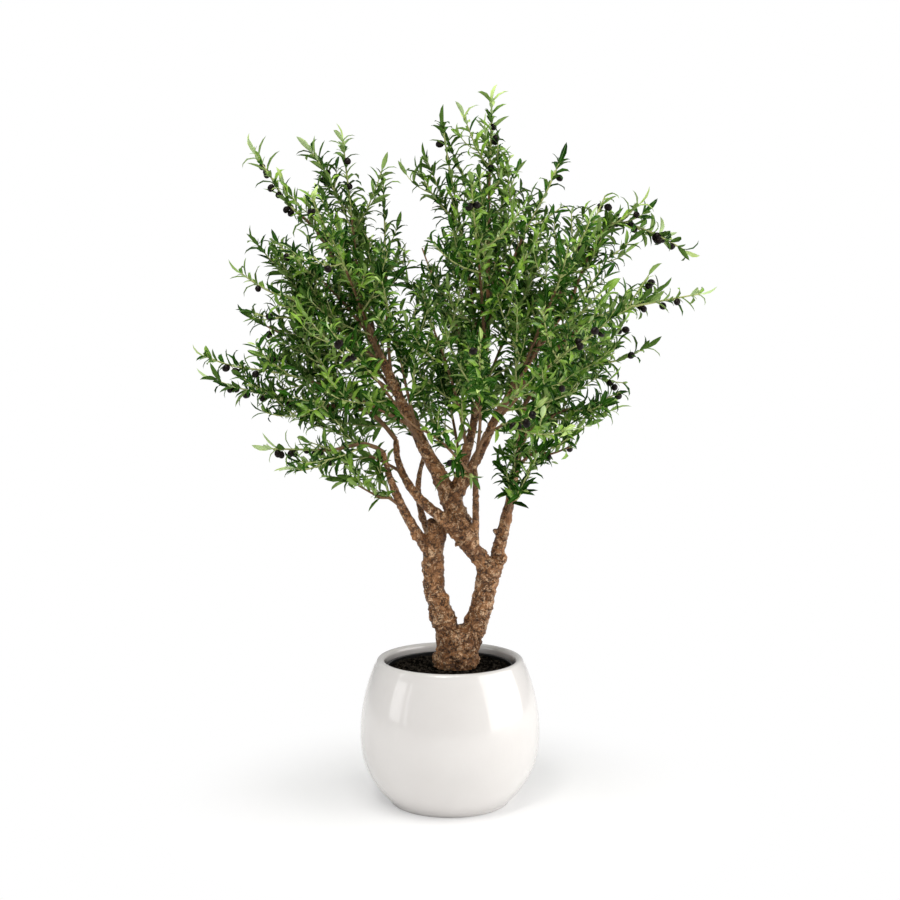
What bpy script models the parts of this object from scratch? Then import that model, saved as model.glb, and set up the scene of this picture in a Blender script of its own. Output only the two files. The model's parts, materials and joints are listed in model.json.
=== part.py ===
"""A potted olive tree: two stems from one foot, a round glazed planter, and a loose crown of long sprays.

Metres, +Z up. The origin is the middle of the planter's flat underside and the front is -Y.
Limbs are tapering tubes that grow from a table of named sizes. Each mass of foliage is one
branching spray that grows from its bough's tip by a seeded rule and keeps to its own space.
"""

import math
import random
from dataclasses import dataclass

import bmesh
import bpy
import numpy as np
from mathutils import Matrix, Vector
from mathutils.bvhtree import BVHTree

# Planter
PLANTER_RADIUS = 0.203
PLANTER_HEIGHT = 0.327
BELLY_HEIGHT = 0.160
FOOT_RADIUS = 0.1324
LOWER_ROUNDNESS = 2.45
SHOULDER_DROP = 0.0387
LIP_ROUND = 0.0095
OPENING_RADIUS = 0.1475
WALL = 0.014
FLOOR_THICK = 0.018
PLANTER_SIDES = 32
LINER_SIDES = 24

# Nursery pot inside the planter, and its soil
LINER_TOP = 0.3095
LINER_TOP_RADIUS = 0.1440
LINER_FOOT_RADIUS = 0.112
LINER_WALL = 0.0028
SOIL_TOP = 0.3040

# Clearance between solids that meet
GAP = 0.0003

# Trunk: height above its foot, middle, half width and half depth of each ring, up to the crotch
TRUNK_FOOT = SOIL_TOP + GAP
TRUNK_RINGS = (
    (0.000, 0.0120, 0.0475, 0.0410),
    (0.021, 0.0155, 0.0460, 0.0400),
    (0.043, 0.0195, 0.0485, 0.0400),
    (0.064, 0.0200, 0.0500, 0.0385),
    (0.086, 0.0190, 0.0545, 0.0365),
    (0.107, 0.0180, 0.0605, 0.0340),
)
TRUNK_SIDES = 14
TRUNK_Y = 0.002

# Limbs: length of their segments, swelling where they leave, unevenness, and how near is near
LIMB_STEP = 0.075
COLLAR = 0.16
COLLAR_FADE = 9
KNOTS = 0.05
NEAR = 0.05

# Main stem of a mass: length of its segments, and how far its bend keeps the first direction
STEM_STEP = 0.11
STEM_KEEPS = 0.30
STEM_LEAVES_FROM = 0.26
STEM_THIN = 0.0016
BRANCH_THICK = 0.0044
LIMB_LEAD = 0.35

# Side shoots: where on the stem they sit, their lean, how they shorten towards the tip, and how they bend
SHOOTS_FROM = 0.10
SHOOTS_OVER = 0.66
SHOOT_LEAN = (38, 56)
SHOOT_LENGTHS = (1.12, 0.68)
SHOOT_UNEVEN = (0.85, 1.1)
SHOOT_FORWARD = 0.16
SHOOT_RISE = 0.10
SHORTER = (1, 0.75, 0.5)
SHOOT_ROOT = 0.35
SHOOT_BARE = 0.015
SHOOT_THICK = 0.0021
SHOOT_THIN = 0.0012
LEAF_LENGTH = 0.110
LEAF_WIDTH = 0.0300
LEAF_THICK = 0.0026
LEAF_SPACING = 0.104
LEAF_LEAN = math.radians(48)
LEAF_WIDEST = 0.44
LEAF_ROOT = 0.24
FRUIT_LENGTH = 0.020
FRUIT_WIDTH = 0.017
FRUIT_AT = 0.80
FRUIT_HANGS = 0.42
CLEARANCE = 0.0012
GOLDEN_ANGLE = math.radians(137.508)

UP = Vector((0, 0, 1))


@dataclass(frozen=True)
class Limb:
    """One tapering limb: from a place on its parent to a point, through a bowed middle."""

    name: str
    parent: str
    at: float  # share of the parent's length where it leaves
    to: tuple  # where it ends
    bow: tuple = (0, 0, 0)  # how far its middle lies off the straight line
    thick: float = 0.006  # radius where it leaves
    thin: float = 0.0035  # radius at its tip
    off: tuple = (0, 0, 0)  # how far its start lies off the parent's middle line


LIMBS = (
    Limb(
        "left_stem", "trunk", 0.52, (-0.024, 0.012, 0.638),
        (-0.028, -0.004, 0.010), 0.0262, 0.0215, (-0.014, 0, 0)
    ),
    Limb(
        "right_stem", "trunk", 0.50, (0.090, -0.008, 0.541), (0.005, 0, -0.006), 0.0250, 0.0245, (0.019, 0, 0)
    ),
    Limb("cross_limb", "right_stem", 0.95, (-0.018, -0.028, 0.650), (0, 0, 0.004), 0.0200, 0.0152),
    Limb(
        "central_stem", "cross_limb", 0.50, (-0.006, 0, 0.708), (0.001, 0, 0), 0.0245, 0.0212, (0.004, 0, 0)
    ),
    Limb(
        "left_leader", "central_stem", 0.95, (-0.216, 0.028, 1.150), (-0.004, 0.012, -0.010), 0.0168, 0.0066
    ),
    Limb(
        "right_leader", "central_stem", 0.88, (0.107, -0.060, 0.893),
        (0.003, 0, 0), 0.0138, 0.0085, (0.014, -0.006, 0)
    ),
    Limb(
        "centre_leader", "central_stem", 0.92, (0.084, 0.005, 1.190),
        (0.024, 0.022, 0), 0.0115, 0.0048, (0.010, 0.008, 0)
    ),
    Limb("front_rise", "cross_limb", 0.30, (0.054, -0.085, 0.775), (0.002, 0.012, 0), 0.0088, 0.0052),
    Limb(
        "right_bough", "right_stem", 0.92, (0.168, 0.048, 0.895),
        (0.008, 0.008, 0), 0.0160, 0.0055, (0.010, 0.004, 0)
    ),
    Limb(
        "left_outer_bough", "left_stem", 0.73, (-0.147, -0.060, 0.800),
        (-0.015, 0, 0), 0.0142, 0.0058, (-0.009, 0, 0)
    ),
    Limb("left_inner_bough", "cross_limb", 0.98, (-0.121, 0.008, 0.822), (-0.028, 0, -0.006), 0.0125, 0.0062),
    Limb(
        "left_rear_bough", "left_stem", 0.84, (-0.060, 0.070, 0.775),
        (-0.020, 0, 0), 0.0088, 0.0050, (-0.010, 0.008, 0)
    ),
    Limb("right_arm", "right_leader", 0.72, (0.262, -0.010, 1.120), (0, 0.010, 0.012), 0.0068, 0.0046),
)


@dataclass(frozen=True)
class Mass:
    """One mass of foliage: a spray from a limb to its furthest tip, with shoots to all sides."""

    name: str
    limb: str
    at: float  # share of the limb's length where it starts: 1 is the limb's tip
    tip: tuple  # the furthest leaf tip
    spread: float  # length of its longest side shoots
    shoots: int = 6
    fruit: int = 1
    arch: float = 0.015  # how far the middle of its stem is lifted


MASSES = (
    Mass("lower_left", "left_outer_bough", 1, (-0.435, -0.090, 0.812), 0.17, 5, 1, -0.010),
    Mass("low_tuft", "left_outer_bough", 0.42, (-0.235, -0.100, 0.750), 0.08, 2, 0, 0.010),
    Mass("left_low", "left_inner_bough", 1, (-0.565, 0.010, 0.968), 0.19, 7, 1, -0.010),
    Mass("left_mid", "left_leader", 0.34, (-0.567, -0.110, 1.026), 0.17, 6, 1, 0.020),
    Mass("left_shoulder", "left_leader", 0.50, (-0.480, 0.120, 1.105), 0.17, 8, 1),
    Mass("left_high", "left_leader", 0.64, (-0.495, -0.030, 1.215), 0.17, 7, 1, 0.020),
    Mass("left_flank", "left_leader", 0.78, (-0.400, -0.100, 1.285), 0.13, 6, 1),
    Mass("upper_left", "left_leader", 1, (-0.452, 0.030, 1.487), 0.12, 4, 2),
    Mass("left_crest", "left_leader", 0.88, (-0.240, 0.000, 1.525), 0.14, 5, 1),
    Mass("inner_left", "left_leader", 0.58, (-0.150, 0.040, 1.435), 0.13, 5, 0, 0.0),
    Mass("front_left", "left_leader", 0.24, (-0.250, -0.430, 1.100), 0.18, 5, 1),
    Mass("front_left_high", "left_leader", 0.68, (-0.290, -0.320, 1.370), 0.16, 4, 1),
    Mass("rear_left", "left_leader", 0.42, (-0.370, 0.420, 1.190), 0.19, 5, 1),
    Mass("rear_left_low", "left_rear_bough", 1, (-0.240, 0.380, 0.930), 0.18, 4, 0),
    Mass("rear_left_high", "left_leader", 0.73, (-0.250, 0.340, 1.390), 0.16, 4, 1),
    Mass("crown_left", "centre_leader", 0.52, (-0.022, -0.030, 1.549), 0.14, 5, 1),
    Mass("summit", "centre_leader", 1, (0.092, 0.000, 1.608), 0.14, 7, 1),
    Mass("right_top", "centre_leader", 0.76, (0.256, -0.020, 1.470), 0.14, 5, 1),
    Mass("heart", "centre_leader", 0.20, (-0.070, -0.200, 1.190), 0.16, 7, 0),
    Mass("front_centre", "right_leader", 0.44, (0.060, -0.450, 1.080), 0.18, 5, 1),
    Mass("front_high", "centre_leader", 0.62, (0.040, -0.310, 1.400), 0.16, 5, 1),
    Mass("rear_centre", "centre_leader", 0.30, (0.030, 0.470, 1.130), 0.18, 5, 1),
    Mass("rear_high", "centre_leader", 0.66, (0.130, 0.330, 1.410), 0.16, 4, 1),
    Mass("rear_heart", "centre_leader", 0.44, (-0.080, 0.250, 1.290), 0.13, 3, 0),
    Mass("right_crest", "right_arm", 0.55, (0.356, -0.040, 1.400), 0.15, 6, 1),
    Mass("right_inner", "centre_leader", 0.36, (0.235, 0.100, 1.290), 0.15, 7, 0),
    Mass("right_arch", "right_arm", 1, (0.544, 0.020, 1.256), 0.11, 4, 2, 0.130),
    Mass("far_right", "right_leader", 1, (0.578, -0.060, 1.175), 0.15, 6, 2, 0.010),
    Mass("right_mid", "right_bough", 1, (0.481, 0.060, 1.044), 0.17, 6, 1),
    Mass("right_low", "right_bough", 0.80, (0.412, -0.050, 0.950), 0.14, 5, 1),
    Mass("lower_right", "right_bough", 0.62, (0.325, 0.000, 0.830), 0.13, 4, 1, 0.020),
    Mass("right_foot", "right_bough", 0.34, (0.165, -0.160, 0.745), 0.08, 3, 0, 0.010),
    Mass("front_right", "right_leader", 0.80, (0.340, -0.390, 1.120), 0.18, 5, 1),
    Mass("front_right_high", "right_arm", 0.32, (0.300, -0.270, 1.330), 0.15, 4, 1),
    Mass("front_right_low", "front_rise", 1, (0.190, -0.400, 0.940), 0.18, 5, 1),
    Mass("rear_right", "right_bough", 0.90, (0.390, 0.390, 1.130), 0.18, 5, 1),
    Mass("rear_right_low", "right_bough", 0.70, (0.250, 0.340, 0.880), 0.16, 4, 1),
    Mass("rear_right_high", "right_leader", 0.52, (0.330, 0.260, 1.300), 0.15, 4, 1),
    Mass("front_low", "front_rise", 0.80, (-0.120, -0.370, 0.930), 0.17, 5, 1),
    Mass("left_heart", "left_leader", 0.30, (-0.150, -0.220, 1.210), 0.15, 7, 0),
    Mass("heart_low", "centre_leader", 0.10, (-0.040, 0.120, 1.070), 0.15, 6, 0),
    Mass("left_skirt", "left_inner_bough", 0.60, (-0.320, 0.100, 0.800), 0.13, 4, 0),
)


# Scene and materials


def clear_scene():
    for obj in list(bpy.data.objects):
        bpy.data.objects.remove(obj)


def finish_of(name, colour, roughness):
    """A plain Principled finish."""
    material = bpy.data.materials.new(name)
    material.use_nodes = True
    shader = material.node_tree.nodes["Principled BSDF"]
    shader.inputs["Base Color"].default_value = (*colour, 1)
    shader.inputs["Roughness"].default_value = roughness
    return material


def add_object(name, mesh, material):
    obj = bpy.data.objects.new(name, mesh)
    mesh.materials.clear()
    mesh.materials.append(material)
    bpy.context.scene.collection.objects.link(obj)
    return obj


def mesh_of(name, points, faces):
    mesh = bpy.data.meshes.new(name)
    mesh.from_pydata([tuple(p) for p in points], [], faces)
    mesh.validate()
    return mesh


# Tubes


def bowed_path(start, end, bow, count):
    """Points on the curve from start to end whose middle lies off the straight line by bow."""
    control = (start + end) / 2 + 2 * Vector(bow)
    found = []
    for i in range(count + 1):
        f = i / count
        found.append(start * (1 - f) ** 2 + control * (2 * f * (1 - f)) + end * f**2)
    return found


def along(path, share):
    """The point at that share of a path of even steps."""
    place = min(max(share, 0), 1) * (len(path) - 1)
    i = min(int(place), len(path) - 2)
    return path[i].lerp(path[i + 1], place - i)


def directions(path):
    """The path's direction at each of its points."""
    found = []
    for i in range(len(path)):
        ahead = path[min(i + 1, len(path) - 1)]
        behind = path[max(i - 1, 0)]
        found.append((ahead - behind).normalized())
    return found


def any_side(direction):
    """A direction square to this one."""
    other = Vector((1, 0, 0)) if abs(direction.x) < 0.7 else Vector((0, 1, 0))
    return (other - direction * other.dot(direction)).normalized()


def tube_rings(path, radii, sides, depths=None, level=False, first_way=None, first_side=None):
    """The rings of a tube through path. depths are its half sizes front to back where those differ from
    radii, level keeps its rings flat, and first_way and first_side turn its first ring."""
    ways = [UP] * len(path) if level else directions(path)
    if first_way:
        ways[0] = first_way
    side = first_side or any_side(ways[0])
    rings = []
    for centre, way, radius, depth in zip(path, ways, radii, depths or radii):
        side = (side - way * side.dot(way)).normalized()
        other = way.cross(side)
        turns = [2 * math.pi * k / sides for k in range(sides)]
        rings.append([centre + side * (radius * math.cos(t)) + other * (depth * math.sin(t)) for t in turns])
    return rings, ways[-1], side


def skin_mesh(name, rings, tip=None, split=False):
    """A closed mesh over rings, ending flat or, with a tip, in a point. split parts each side face one way,
    so that a limb and the grown copy that cuts its neighbours have their edges in the same places."""
    sides = len(rings[0])
    points = [point for ring in rings for point in ring]
    faces = [tuple(reversed(range(sides)))]
    for ring in range(len(rings) - 1):
        for k in range(sides):
            a, b = ring * sides + k, ring * sides + (k + 1) % sides
            if split:
                faces += [(a, b, b + sides), (a, b + sides, a + sides)]
            else:
                faces.append((a, b, b + sides, a + sides))
    last = (len(rings) - 1) * sides
    if tip is None:
        faces.append(tuple(range(last, last + sides)))
    else:
        points.append(tip)
        faces += [(last + k, last + (k + 1) % sides, len(points) - 1) for k in range(sides)]
    return mesh_of(name, points, faces)


def tube_mesh(name, path, radii, sides, depths=None, level=False):
    """A closed tube with flat ends."""
    return skin_mesh(name, tube_rings(path, radii, sides, depths, level)[0], split=True)


# Limbs


def trunk_path():
    return [Vector((middle, TRUNK_Y, TRUNK_FOOT + height)) for height, middle, _, _ in TRUNK_RINGS]


def limb_paths():
    """Each limb's middle line, worked out from its parent's."""
    paths = {"trunk": trunk_path()}
    for limb in LIMBS:
        start = along(paths[limb.parent], limb.at) + Vector(limb.off)
        end = Vector(limb.to)
        steps = max(4, round((end - start).length / LIMB_STEP))
        paths[limb.name] = bowed_path(start, end, limb.bow, steps)
    return paths


def limb_radii(limb, count):
    """Radii from thick to thin, with a collar at the start and slight knots."""
    chance = random.Random(limb.name)
    found = []
    for i in range(count):
        f = i / (count - 1)
        plain = limb.thick + (limb.thin - limb.thick) * f**0.85
        collar = COLLAR * limb.thick * math.exp(-COLLAR_FADE * f)
        knot = 1 + KNOTS * chance.uniform(-1, 1) * (0 < i < count - 1)
        found.append((plain + collar) * knot)
    return found


def sides_for(radius):
    return 10 if radius > 0.019 else 8 if radius > 0.012 else 6


def limb_mesh(limb, path, grow=0.0):
    """The limb's tube, or with grow a slightly larger one to cut its neighbours clear."""
    radii = [r + grow for r in limb_radii(limb, len(path))]
    path = list(path)
    if grow:
        ways = directions(path)
        path[0] = path[0] - ways[0] * grow
        path[-1] = path[-1] + ways[-1] * grow
    return tube_mesh(limb.name, path, radii, sides_for(limb.thick))


def trunk_mesh(path, grow=0.0):
    radii = [half_width + grow for _, _, half_width, _ in TRUNK_RINGS]
    depths = [half_depth + grow for _, _, _, half_depth in TRUNK_RINGS]
    path = list(path)
    path[-1] = path[-1] + UP * grow
    return tube_mesh("trunk", path, radii, TRUNK_SIDES, depths, level=True)


def extent(points):
    """The lowest and highest corners of the box round some points."""
    return [min(p[i] for p in points) for i in range(3)], [max(p[i] for p in points) for i in range(3)]


def near(a, b):
    """Whether the boxes round two paths come within reach of each other."""
    (low_a, high_a), (low_b, high_b) = extent(a), extent(b)
    return all(low_a[i] - NEAR < high_b[i] and low_b[i] - NEAR < high_a[i] for i in range(3))


def largest_body(mesh):
    """Keeps the largest body of a mesh, so that no scrap or sealed hollow stays."""
    shape = bmesh.new()
    shape.from_mesh(mesh)
    bmesh.ops.triangulate(shape, faces=shape.faces)
    left, bodies = set(shape.faces), []
    while left:
        body, todo = [], [left.pop()]
        while todo:
            face = todo.pop()
            body.append(face)
            for edge in face.edges:
                for other in edge.link_faces:
                    if other in left:
                        left.discard(other)
                        todo.append(other)
        bodies.append(body)
    keep = set(max(bodies, key=body_volume))
    bmesh.ops.delete(shape, geom=[face for face in shape.faces if face not in keep], context="FACES")
    shape.to_mesh(mesh)
    shape.free()
    return mesh


def body_volume(faces):
    """The volume inside a closed set of triangles."""
    return abs(sum(f.verts[0].co.dot(f.verts[1].co.cross(f.verts[2].co)) for f in faces)) / 6


def apply_boolean(obj, others, operation, solver):
    """Joins to obj, or cuts from it, a collection of other objects, which are then removed."""
    group = bpy.data.collections.new("operands")
    bpy.context.scene.collection.children.link(group)
    for other in others:
        for owner in list(other.users_collection):
            owner.objects.unlink(other)
        group.objects.link(other)
    cut = obj.modifiers.new("cut", "BOOLEAN")
    cut.operation = operation
    cut.operand_type = "COLLECTION"
    cut.collection = group
    cut.solver = solver
    graph = bpy.context.evaluated_depsgraph_get()
    made = bpy.data.meshes.new_from_object(obj.evaluated_get(graph), depsgraph=graph)
    obj.modifiers.clear()
    obj.data = largest_body(made)
    for other in others:
        bpy.data.objects.remove(other)
    bpy.data.collections.remove(group)


def build_limbs(paths, bark):
    """The trunk and every limb, each cut clear of the trunk and of the limbs made before it."""
    add_object("trunk", trunk_mesh(paths["trunk"]), bark)
    made = []
    for limb in LIMBS:
        obj = add_object(limb.name, limb_mesh(limb, paths[limb.name]), bark)
        cutters = []
        if near(paths["trunk"], paths[limb.name]):
            cutters.append(add_object("cutter", trunk_mesh(paths["trunk"], GAP), bark))
        for other in made:
            if near(paths[other.name], paths[limb.name]):
                cutters.append(add_object("cutter", limb_mesh(other, paths[other.name], GAP), bark))
        if cutters:
            apply_boolean(obj, cutters, "DIFFERENCE", "EXACT")
        made.append(limb)


# Foliage


class Crown:
    """What stands in the crown so far, each piece with its owner, so that nothing new touches it."""

    def __init__(self):
        self.owners, self.lows, self.highs, self.trees = [], [], [], []

    def add(self, owner, shape):
        points, faces = shape
        self.owners.append(owner)
        low, high = extent(points)
        self.lows.append(low)
        self.highs.append(high)
        self.trees.append(BVHTree.FromPolygons(points, faces))

    def is_free(self, shape, beside=None):
        """Whether a shape touches nothing. Pieces of the owner named by beside aren't asked."""
        points, faces = shape
        low, high = (np.array(corner) for corner in extent(points))
        close = ((np.array(self.lows) < high) & (np.array(self.highs) > low)).all(axis=1)
        tree = BVHTree.FromPolygons(points, faces)
        return not any(
            self.owners[i] != beside and tree.overlap(self.trees[i]) for i in np.flatnonzero(close)
        )


def mesh_shape(mesh):
    return [v.co.copy() for v in mesh.vertices], [tuple(f.vertices) for f in mesh.polygons]


def tube_shape(path, radii, sides=6):
    """A tube with CLEARANCE all round it."""
    mesh = tube_mesh("space", path, [r * 1.1 + CLEARANCE for r in radii], sides)
    shape = mesh_shape(mesh)
    bpy.data.meshes.remove(mesh)
    return shape


def leaf_shape(corners, first=0.0):
    """A spindle with CLEARANCE all round a leaf, from that share of its length to its tip."""
    root, tip, left, right = corners
    middle, across = (left + right) / 2, (left - right).normalized()
    flat = (tip - root).cross(across).normalized() * (LEAF_THICK + CLEARANCE)
    wide = across * ((left - right).length / 2 + 2 * CLEARANCE)
    far = tip + (tip - root).normalized() * CLEARANCE
    points = [root.lerp(tip, first), far, middle + wide, middle - wide, middle + flat, middle - flat]
    return points, [(a, b, c) for a in (0, 1) for b in (2, 3) for c in (4, 5)]


def mass_start(mass, paths, limbs):
    """Where a mass's stem starts, its first direction and its radius there."""
    path = paths[mass.limb]
    limb = limbs[mass.limb]
    if mass.at == 1:
        way = directions(path)[-1]
        return path[-1] + way * GAP, way, limb.thin * 0.92
    start = along(path, mass.at)
    outward = (Vector(mass.tip) - start).normalized()
    way = directions(path)[round(mass.at * (len(path) - 1))]
    return start, (outward + way * LIMB_LEAD).normalized(), BRANCH_THICK


def stem_path(mass, start, way):
    """The mass's main stem: it leaves the limb and arches to the tip."""
    tip = Vector(mass.tip)
    end = tip - (tip - start).normalized() * LEAF_LENGTH
    span = (end - start).length
    steps = max(3, round(span / STEM_STEP))
    first = start + way * (STEM_KEEPS * span)
    second = start.lerp(end, 0.66) + UP * (2 * mass.arch)
    found = []
    for i in range(steps + 1):
        f = i / steps
        g = 1 - f
        found.append(start * g**3 + first * (3 * g * g * f) + second * (3 * g * f * f) + end * f**3)
    return found


def side_shoots(mass, stem):
    """The shoots that leave a stem: each a path that leans out and then bends forward and up."""
    chance = random.Random(mass.name)
    ways = directions(stem)
    phase = chance.uniform(0, 2 * math.pi)
    found = []
    for k in range(mass.shoots):
        share = SHOOTS_FROM + SHOOTS_OVER * (k + 0.5) / mass.shoots
        start = along(stem, share)
        way = ways[round(share * (len(stem) - 1))]
        side = Matrix.Rotation(phase + GOLDEN_ANGLE * k, 3, way) @ any_side(way)
        lean = math.radians(chance.uniform(*SHOOT_LEAN))
        out = way * math.cos(lean) + side * math.sin(lean)
        length = mass.spread * (SHOOT_LENGTHS[0] - SHOOT_LENGTHS[1] * share) * chance.uniform(*SHOOT_UNEVEN)
        end = start + (out + way * SHOOT_FORWARD + UP * SHOOT_RISE).normalized() * length
        middle = (start + end) / 2 + (start + out * (length * 0.5) - (start + end) / 2) * 0.5
        found.append([start, middle, end])
    return found


def path_length(path):
    return sum((b - a).length for a, b in zip(path, path[1:]))


def leaf_places(path, chance, first):
    """Where leaves sit along a path, in opposite pairs each turned a quarter from the last: each one's root,
    direction, roll about that direction, and size."""
    length = path_length(path)
    count = max(1, round((length - first) / LEAF_SPACING))
    ways = directions(path)
    turn = chance.uniform(0, math.pi)
    for i in range(count):
        share = (first + (i + 0.35) * (length - first) / count) / length
        way = ways[min(len(ways) - 1, round(share * (len(path) - 1)))]
        for half in (0, math.pi):
            side = Matrix.Rotation(turn + half, 3, way) @ any_side(way)
            lean = LEAF_LEAN * chance.uniform(0.8, 1.2)
            out = (way * math.cos(lean) + side * math.sin(lean)).normalized()
            yield along(path, share), out, chance.uniform(-1.2, 1.2), chance.uniform(0.82, 1.08)
        turn += math.pi / 2 + chance.uniform(-0.3, 0.3)


def leaf_corners(root, way, roll, size):
    """Four corners of a leaf blade with a keel: root, tip and two edges."""
    length, width = LEAF_LENGTH * size, LEAF_WIDTH * size
    across = Matrix.Rotation(roll, 3, way) @ any_side(way)
    face = across.cross(way)
    middle = root + way * (LEAF_WIDEST * length)
    return [
        root,
        root + way * length - face * (0.04 * length),
        middle + across * (width / 2) + face * LEAF_THICK,
        middle - across * (width / 2) + face * LEAF_THICK,
    ]


LEAF_FACES = [(0, 1, 2), (0, 3, 1), (0, 2, 3), (1, 3, 2)]


def fruit_mesh(centre, sides=5):
    """An olive: a small faceted drop that hangs."""
    rings = []
    for height in (-0.17, 0.17):
        turns = [2 * math.pi * k / sides + height for k in range(sides)]
        middle = centre + UP * (FRUIT_LENGTH * height)
        rings.append([middle + Vector((math.cos(t), math.sin(t), 0)) * (FRUIT_WIDTH / 2) for t in turns])
    top, bottom = centre + UP * (FRUIT_LENGTH / 2), centre - UP * (FRUIT_LENGTH / 2)
    points = [point for ring in rings for point in ring] + [top, bottom]
    faces = []
    for k in range(sides):
        a, b = k, (k + 1) % sides
        faces += [(a, b, b + sides, a + sides), (a + sides, b + sides, 2 * sides), (b, a, 2 * sides + 1)]
    return mesh_of("olive", points, faces)


def tapered(count, thick, thin):
    return [thick + (thin - thick) * i / (count - 1) for i in range(count)]


def faces_out(mesh):
    """Turns a closed convex mesh's faces outwards."""
    shape = bmesh.new()
    shape.from_mesh(mesh)
    bmesh.ops.recalc_face_normals(shape, faces=shape.faces)
    shape.to_mesh(mesh)
    shape.free()
    return mesh


def twig_mesh(path, radii, sides, roll, first_way=None):
    """A twig that ends in a leaf blade."""
    way = first_way or directions(path)[0]
    side = Matrix.Rotation(roll, 3, way) @ any_side(way)
    rings, way, side = tube_rings(path, radii, sides, first_way=first_way, first_side=side)
    across = way.cross(side) * (LEAF_WIDTH / 2)
    middle = path[-1] + way * (LEAF_LENGTH * LEAF_WIDEST)
    keel, back = middle + side * LEAF_THICK, middle - side * (LEAF_THICK * 0.3)
    if sides == 4:
        rings.append([keel, middle + across, back, middle - across])
    else:
        rings.append([keel, back + across, back - across])
    return skin_mesh("twig", rings, path[-1] + way * LEAF_LENGTH)


class Spray:
    """One mass as it grows: its stem, with the shoots, leaves and olives that found room on it."""

    def __init__(self, mass, paths):
        limbs = {limb.name: limb for limb in LIMBS}
        self.mass = mass
        self.chance = random.Random(f"leaves of {mass.name}")
        start, self.way, self.radius = mass_start(mass, paths, limbs)
        self.stem = stem_path(mass, start, self.way)
        self.radii = tapered(len(self.stem), self.radius, STEM_THIN)
        self.turns = [self.chance.uniform(0, 3)]
        self.shoots, self.leaves, self.fruit = [], [], []

    def claim(self, crown):
        """Takes the space of the stem and of the leaf that ends it."""
        crown.add(self.mass.name, tube_shape(self.stem, self.radii))
        crown.add(self.mass.name, self.end_leaf(self.stem))

    @staticmethod
    def end_leaf(path):
        """The space of the leaf that ends a twig, whichever way its blade is turned."""
        way = directions(path)[-1]
        side = any_side(way)
        middle, tip = path[-1] + way * (LEAF_LENGTH * LEAF_WIDEST), path[-1] + way * (LEAF_LENGTH + CLEARANCE)
        turns = [Matrix.Rotation(math.pi * k / 3, 3, way) @ side for k in range(6)]
        points = [path[-1], tip] + [middle + turn * (LEAF_WIDTH * 0.6) for turn in turns]
        return points, [(end, 2 + k, 2 + (k + 1) % 6) for end in (0, 1) for k in range(6)]

    def grow_shoots(self, crown):
        """Adds each shoot that finds room, shortened where only that fits."""
        for shoot in side_shoots(self.mass, self.stem):
            for share in SHORTER:
                path = [shoot[0].lerp(point, share) for point in shoot]
                radii = tapered(len(path), SHOOT_THICK, SHOOT_THIN)
                outer = [path[0].lerp(path[1], SHOOT_ROOT)] + path[1:]
                whole = tube_shape(path, radii)
                free = crown.is_free(self.end_leaf(path)) and crown.is_free(tube_shape(outer, radii))
                if free and crown.is_free(whole, beside=self.mass.name):
                    crown.add(self.mass.name, whole)
                    crown.add(self.mass.name, self.end_leaf(path))
                    self.shoots.append((path, radii, self.chance.uniform(0, 6)))
                    break

    def leaf_candidates(self):
        """Where its leaves may sit, in the order in which they are tried."""
        twigs = [(path, SHOOT_BARE) for path, _, _ in self.shoots]
        twigs.append((self.stem, STEM_LEAVES_FROM * path_length(self.stem)))
        return [place for path, first in twigs for place in leaf_places(path, self.chance, first)]

    def try_leaf(self, crown, place):
        """Adds one leaf where it finds room: its outer part clear of everything, its root of other masses."""
        corners = leaf_corners(*place)
        whole = leaf_shape(corners)
        if crown.is_free(leaf_shape(corners, LEAF_ROOT)) and crown.is_free(whole, beside=self.mass.name):
            crown.add(self.mass.name, whole)
            self.leaves.append(corners)

    def grow_fruit(self, crown):
        for k in range(self.mass.fruit):
            path = self.shoots[(k * 2) % len(self.shoots)][0] if self.shoots else self.stem
            centre = along(path, FRUIT_AT) - UP * (FRUIT_LENGTH * FRUIT_HANGS)
            mesh = fruit_mesh(centre)
            if crown.is_free(mesh_shape(mesh), beside=self.mass.name):
                crown.add(self.mass.name, mesh_shape(mesh))
                self.fruit.append(mesh)

    def build(self, paths, green):
        """Joins all of it to one solid, cut clear of the limb that carries it."""
        obj = add_object(self.mass.name, twig_mesh(self.stem, self.radii, 4, self.turns[0], self.way), green)
        parts = [add_object("shoot", twig_mesh(*shoot[:2], 3, shoot[2]), green) for shoot in self.shoots]
        parts += [add_object("leaf", faces_out(mesh_of("leaf", c, LEAF_FACES)), green) for c in self.leaves]
        parts += [add_object("olive", faces_out(mesh), green) for mesh in self.fruit]
        if parts:
            apply_boolean(obj, parts, "UNION", "MANIFOLD")
        if self.mass.at < 1:
            limb = next(limb for limb in LIMBS if limb.name == self.mass.limb)
            cutter = add_object("cutter", limb_mesh(limb, paths[limb.name], GAP), green)
            apply_boolean(obj, [cutter], "DIFFERENCE", "MANIFOLD")
        obj.data.materials.clear()
        obj.data.materials.append(green)


def build_foliage(paths, green):
    """Grows every mass at once, so that each gets its share of the room, and then makes their solids."""
    crown = Crown()
    for name, path in paths.items():
        limb = next((limb for limb in LIMBS if limb.name == name), None)
        radii = limb_radii(limb, len(path)) if limb else [ring[2] for ring in TRUNK_RINGS]
        crown.add(name, tube_shape(path, [r + CLEARANCE for r in radii], 8))
    sprays = [Spray(mass, paths) for mass in MASSES]
    for spray in sprays:
        spray.claim(crown)
    for spray in sprays:
        spray.grow_shoots(crown)
    waiting = [(spray, spray.leaf_candidates()) for spray in sprays]
    while any(places for _, places in waiting):
        for spray, places in waiting:
            if places:
                spray.try_leaf(crown, places.pop(0))
    for spray in sprays:
        spray.grow_fruit(crown)
        spray.build(paths, green)


# Planter, nursery pot and soil


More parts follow.
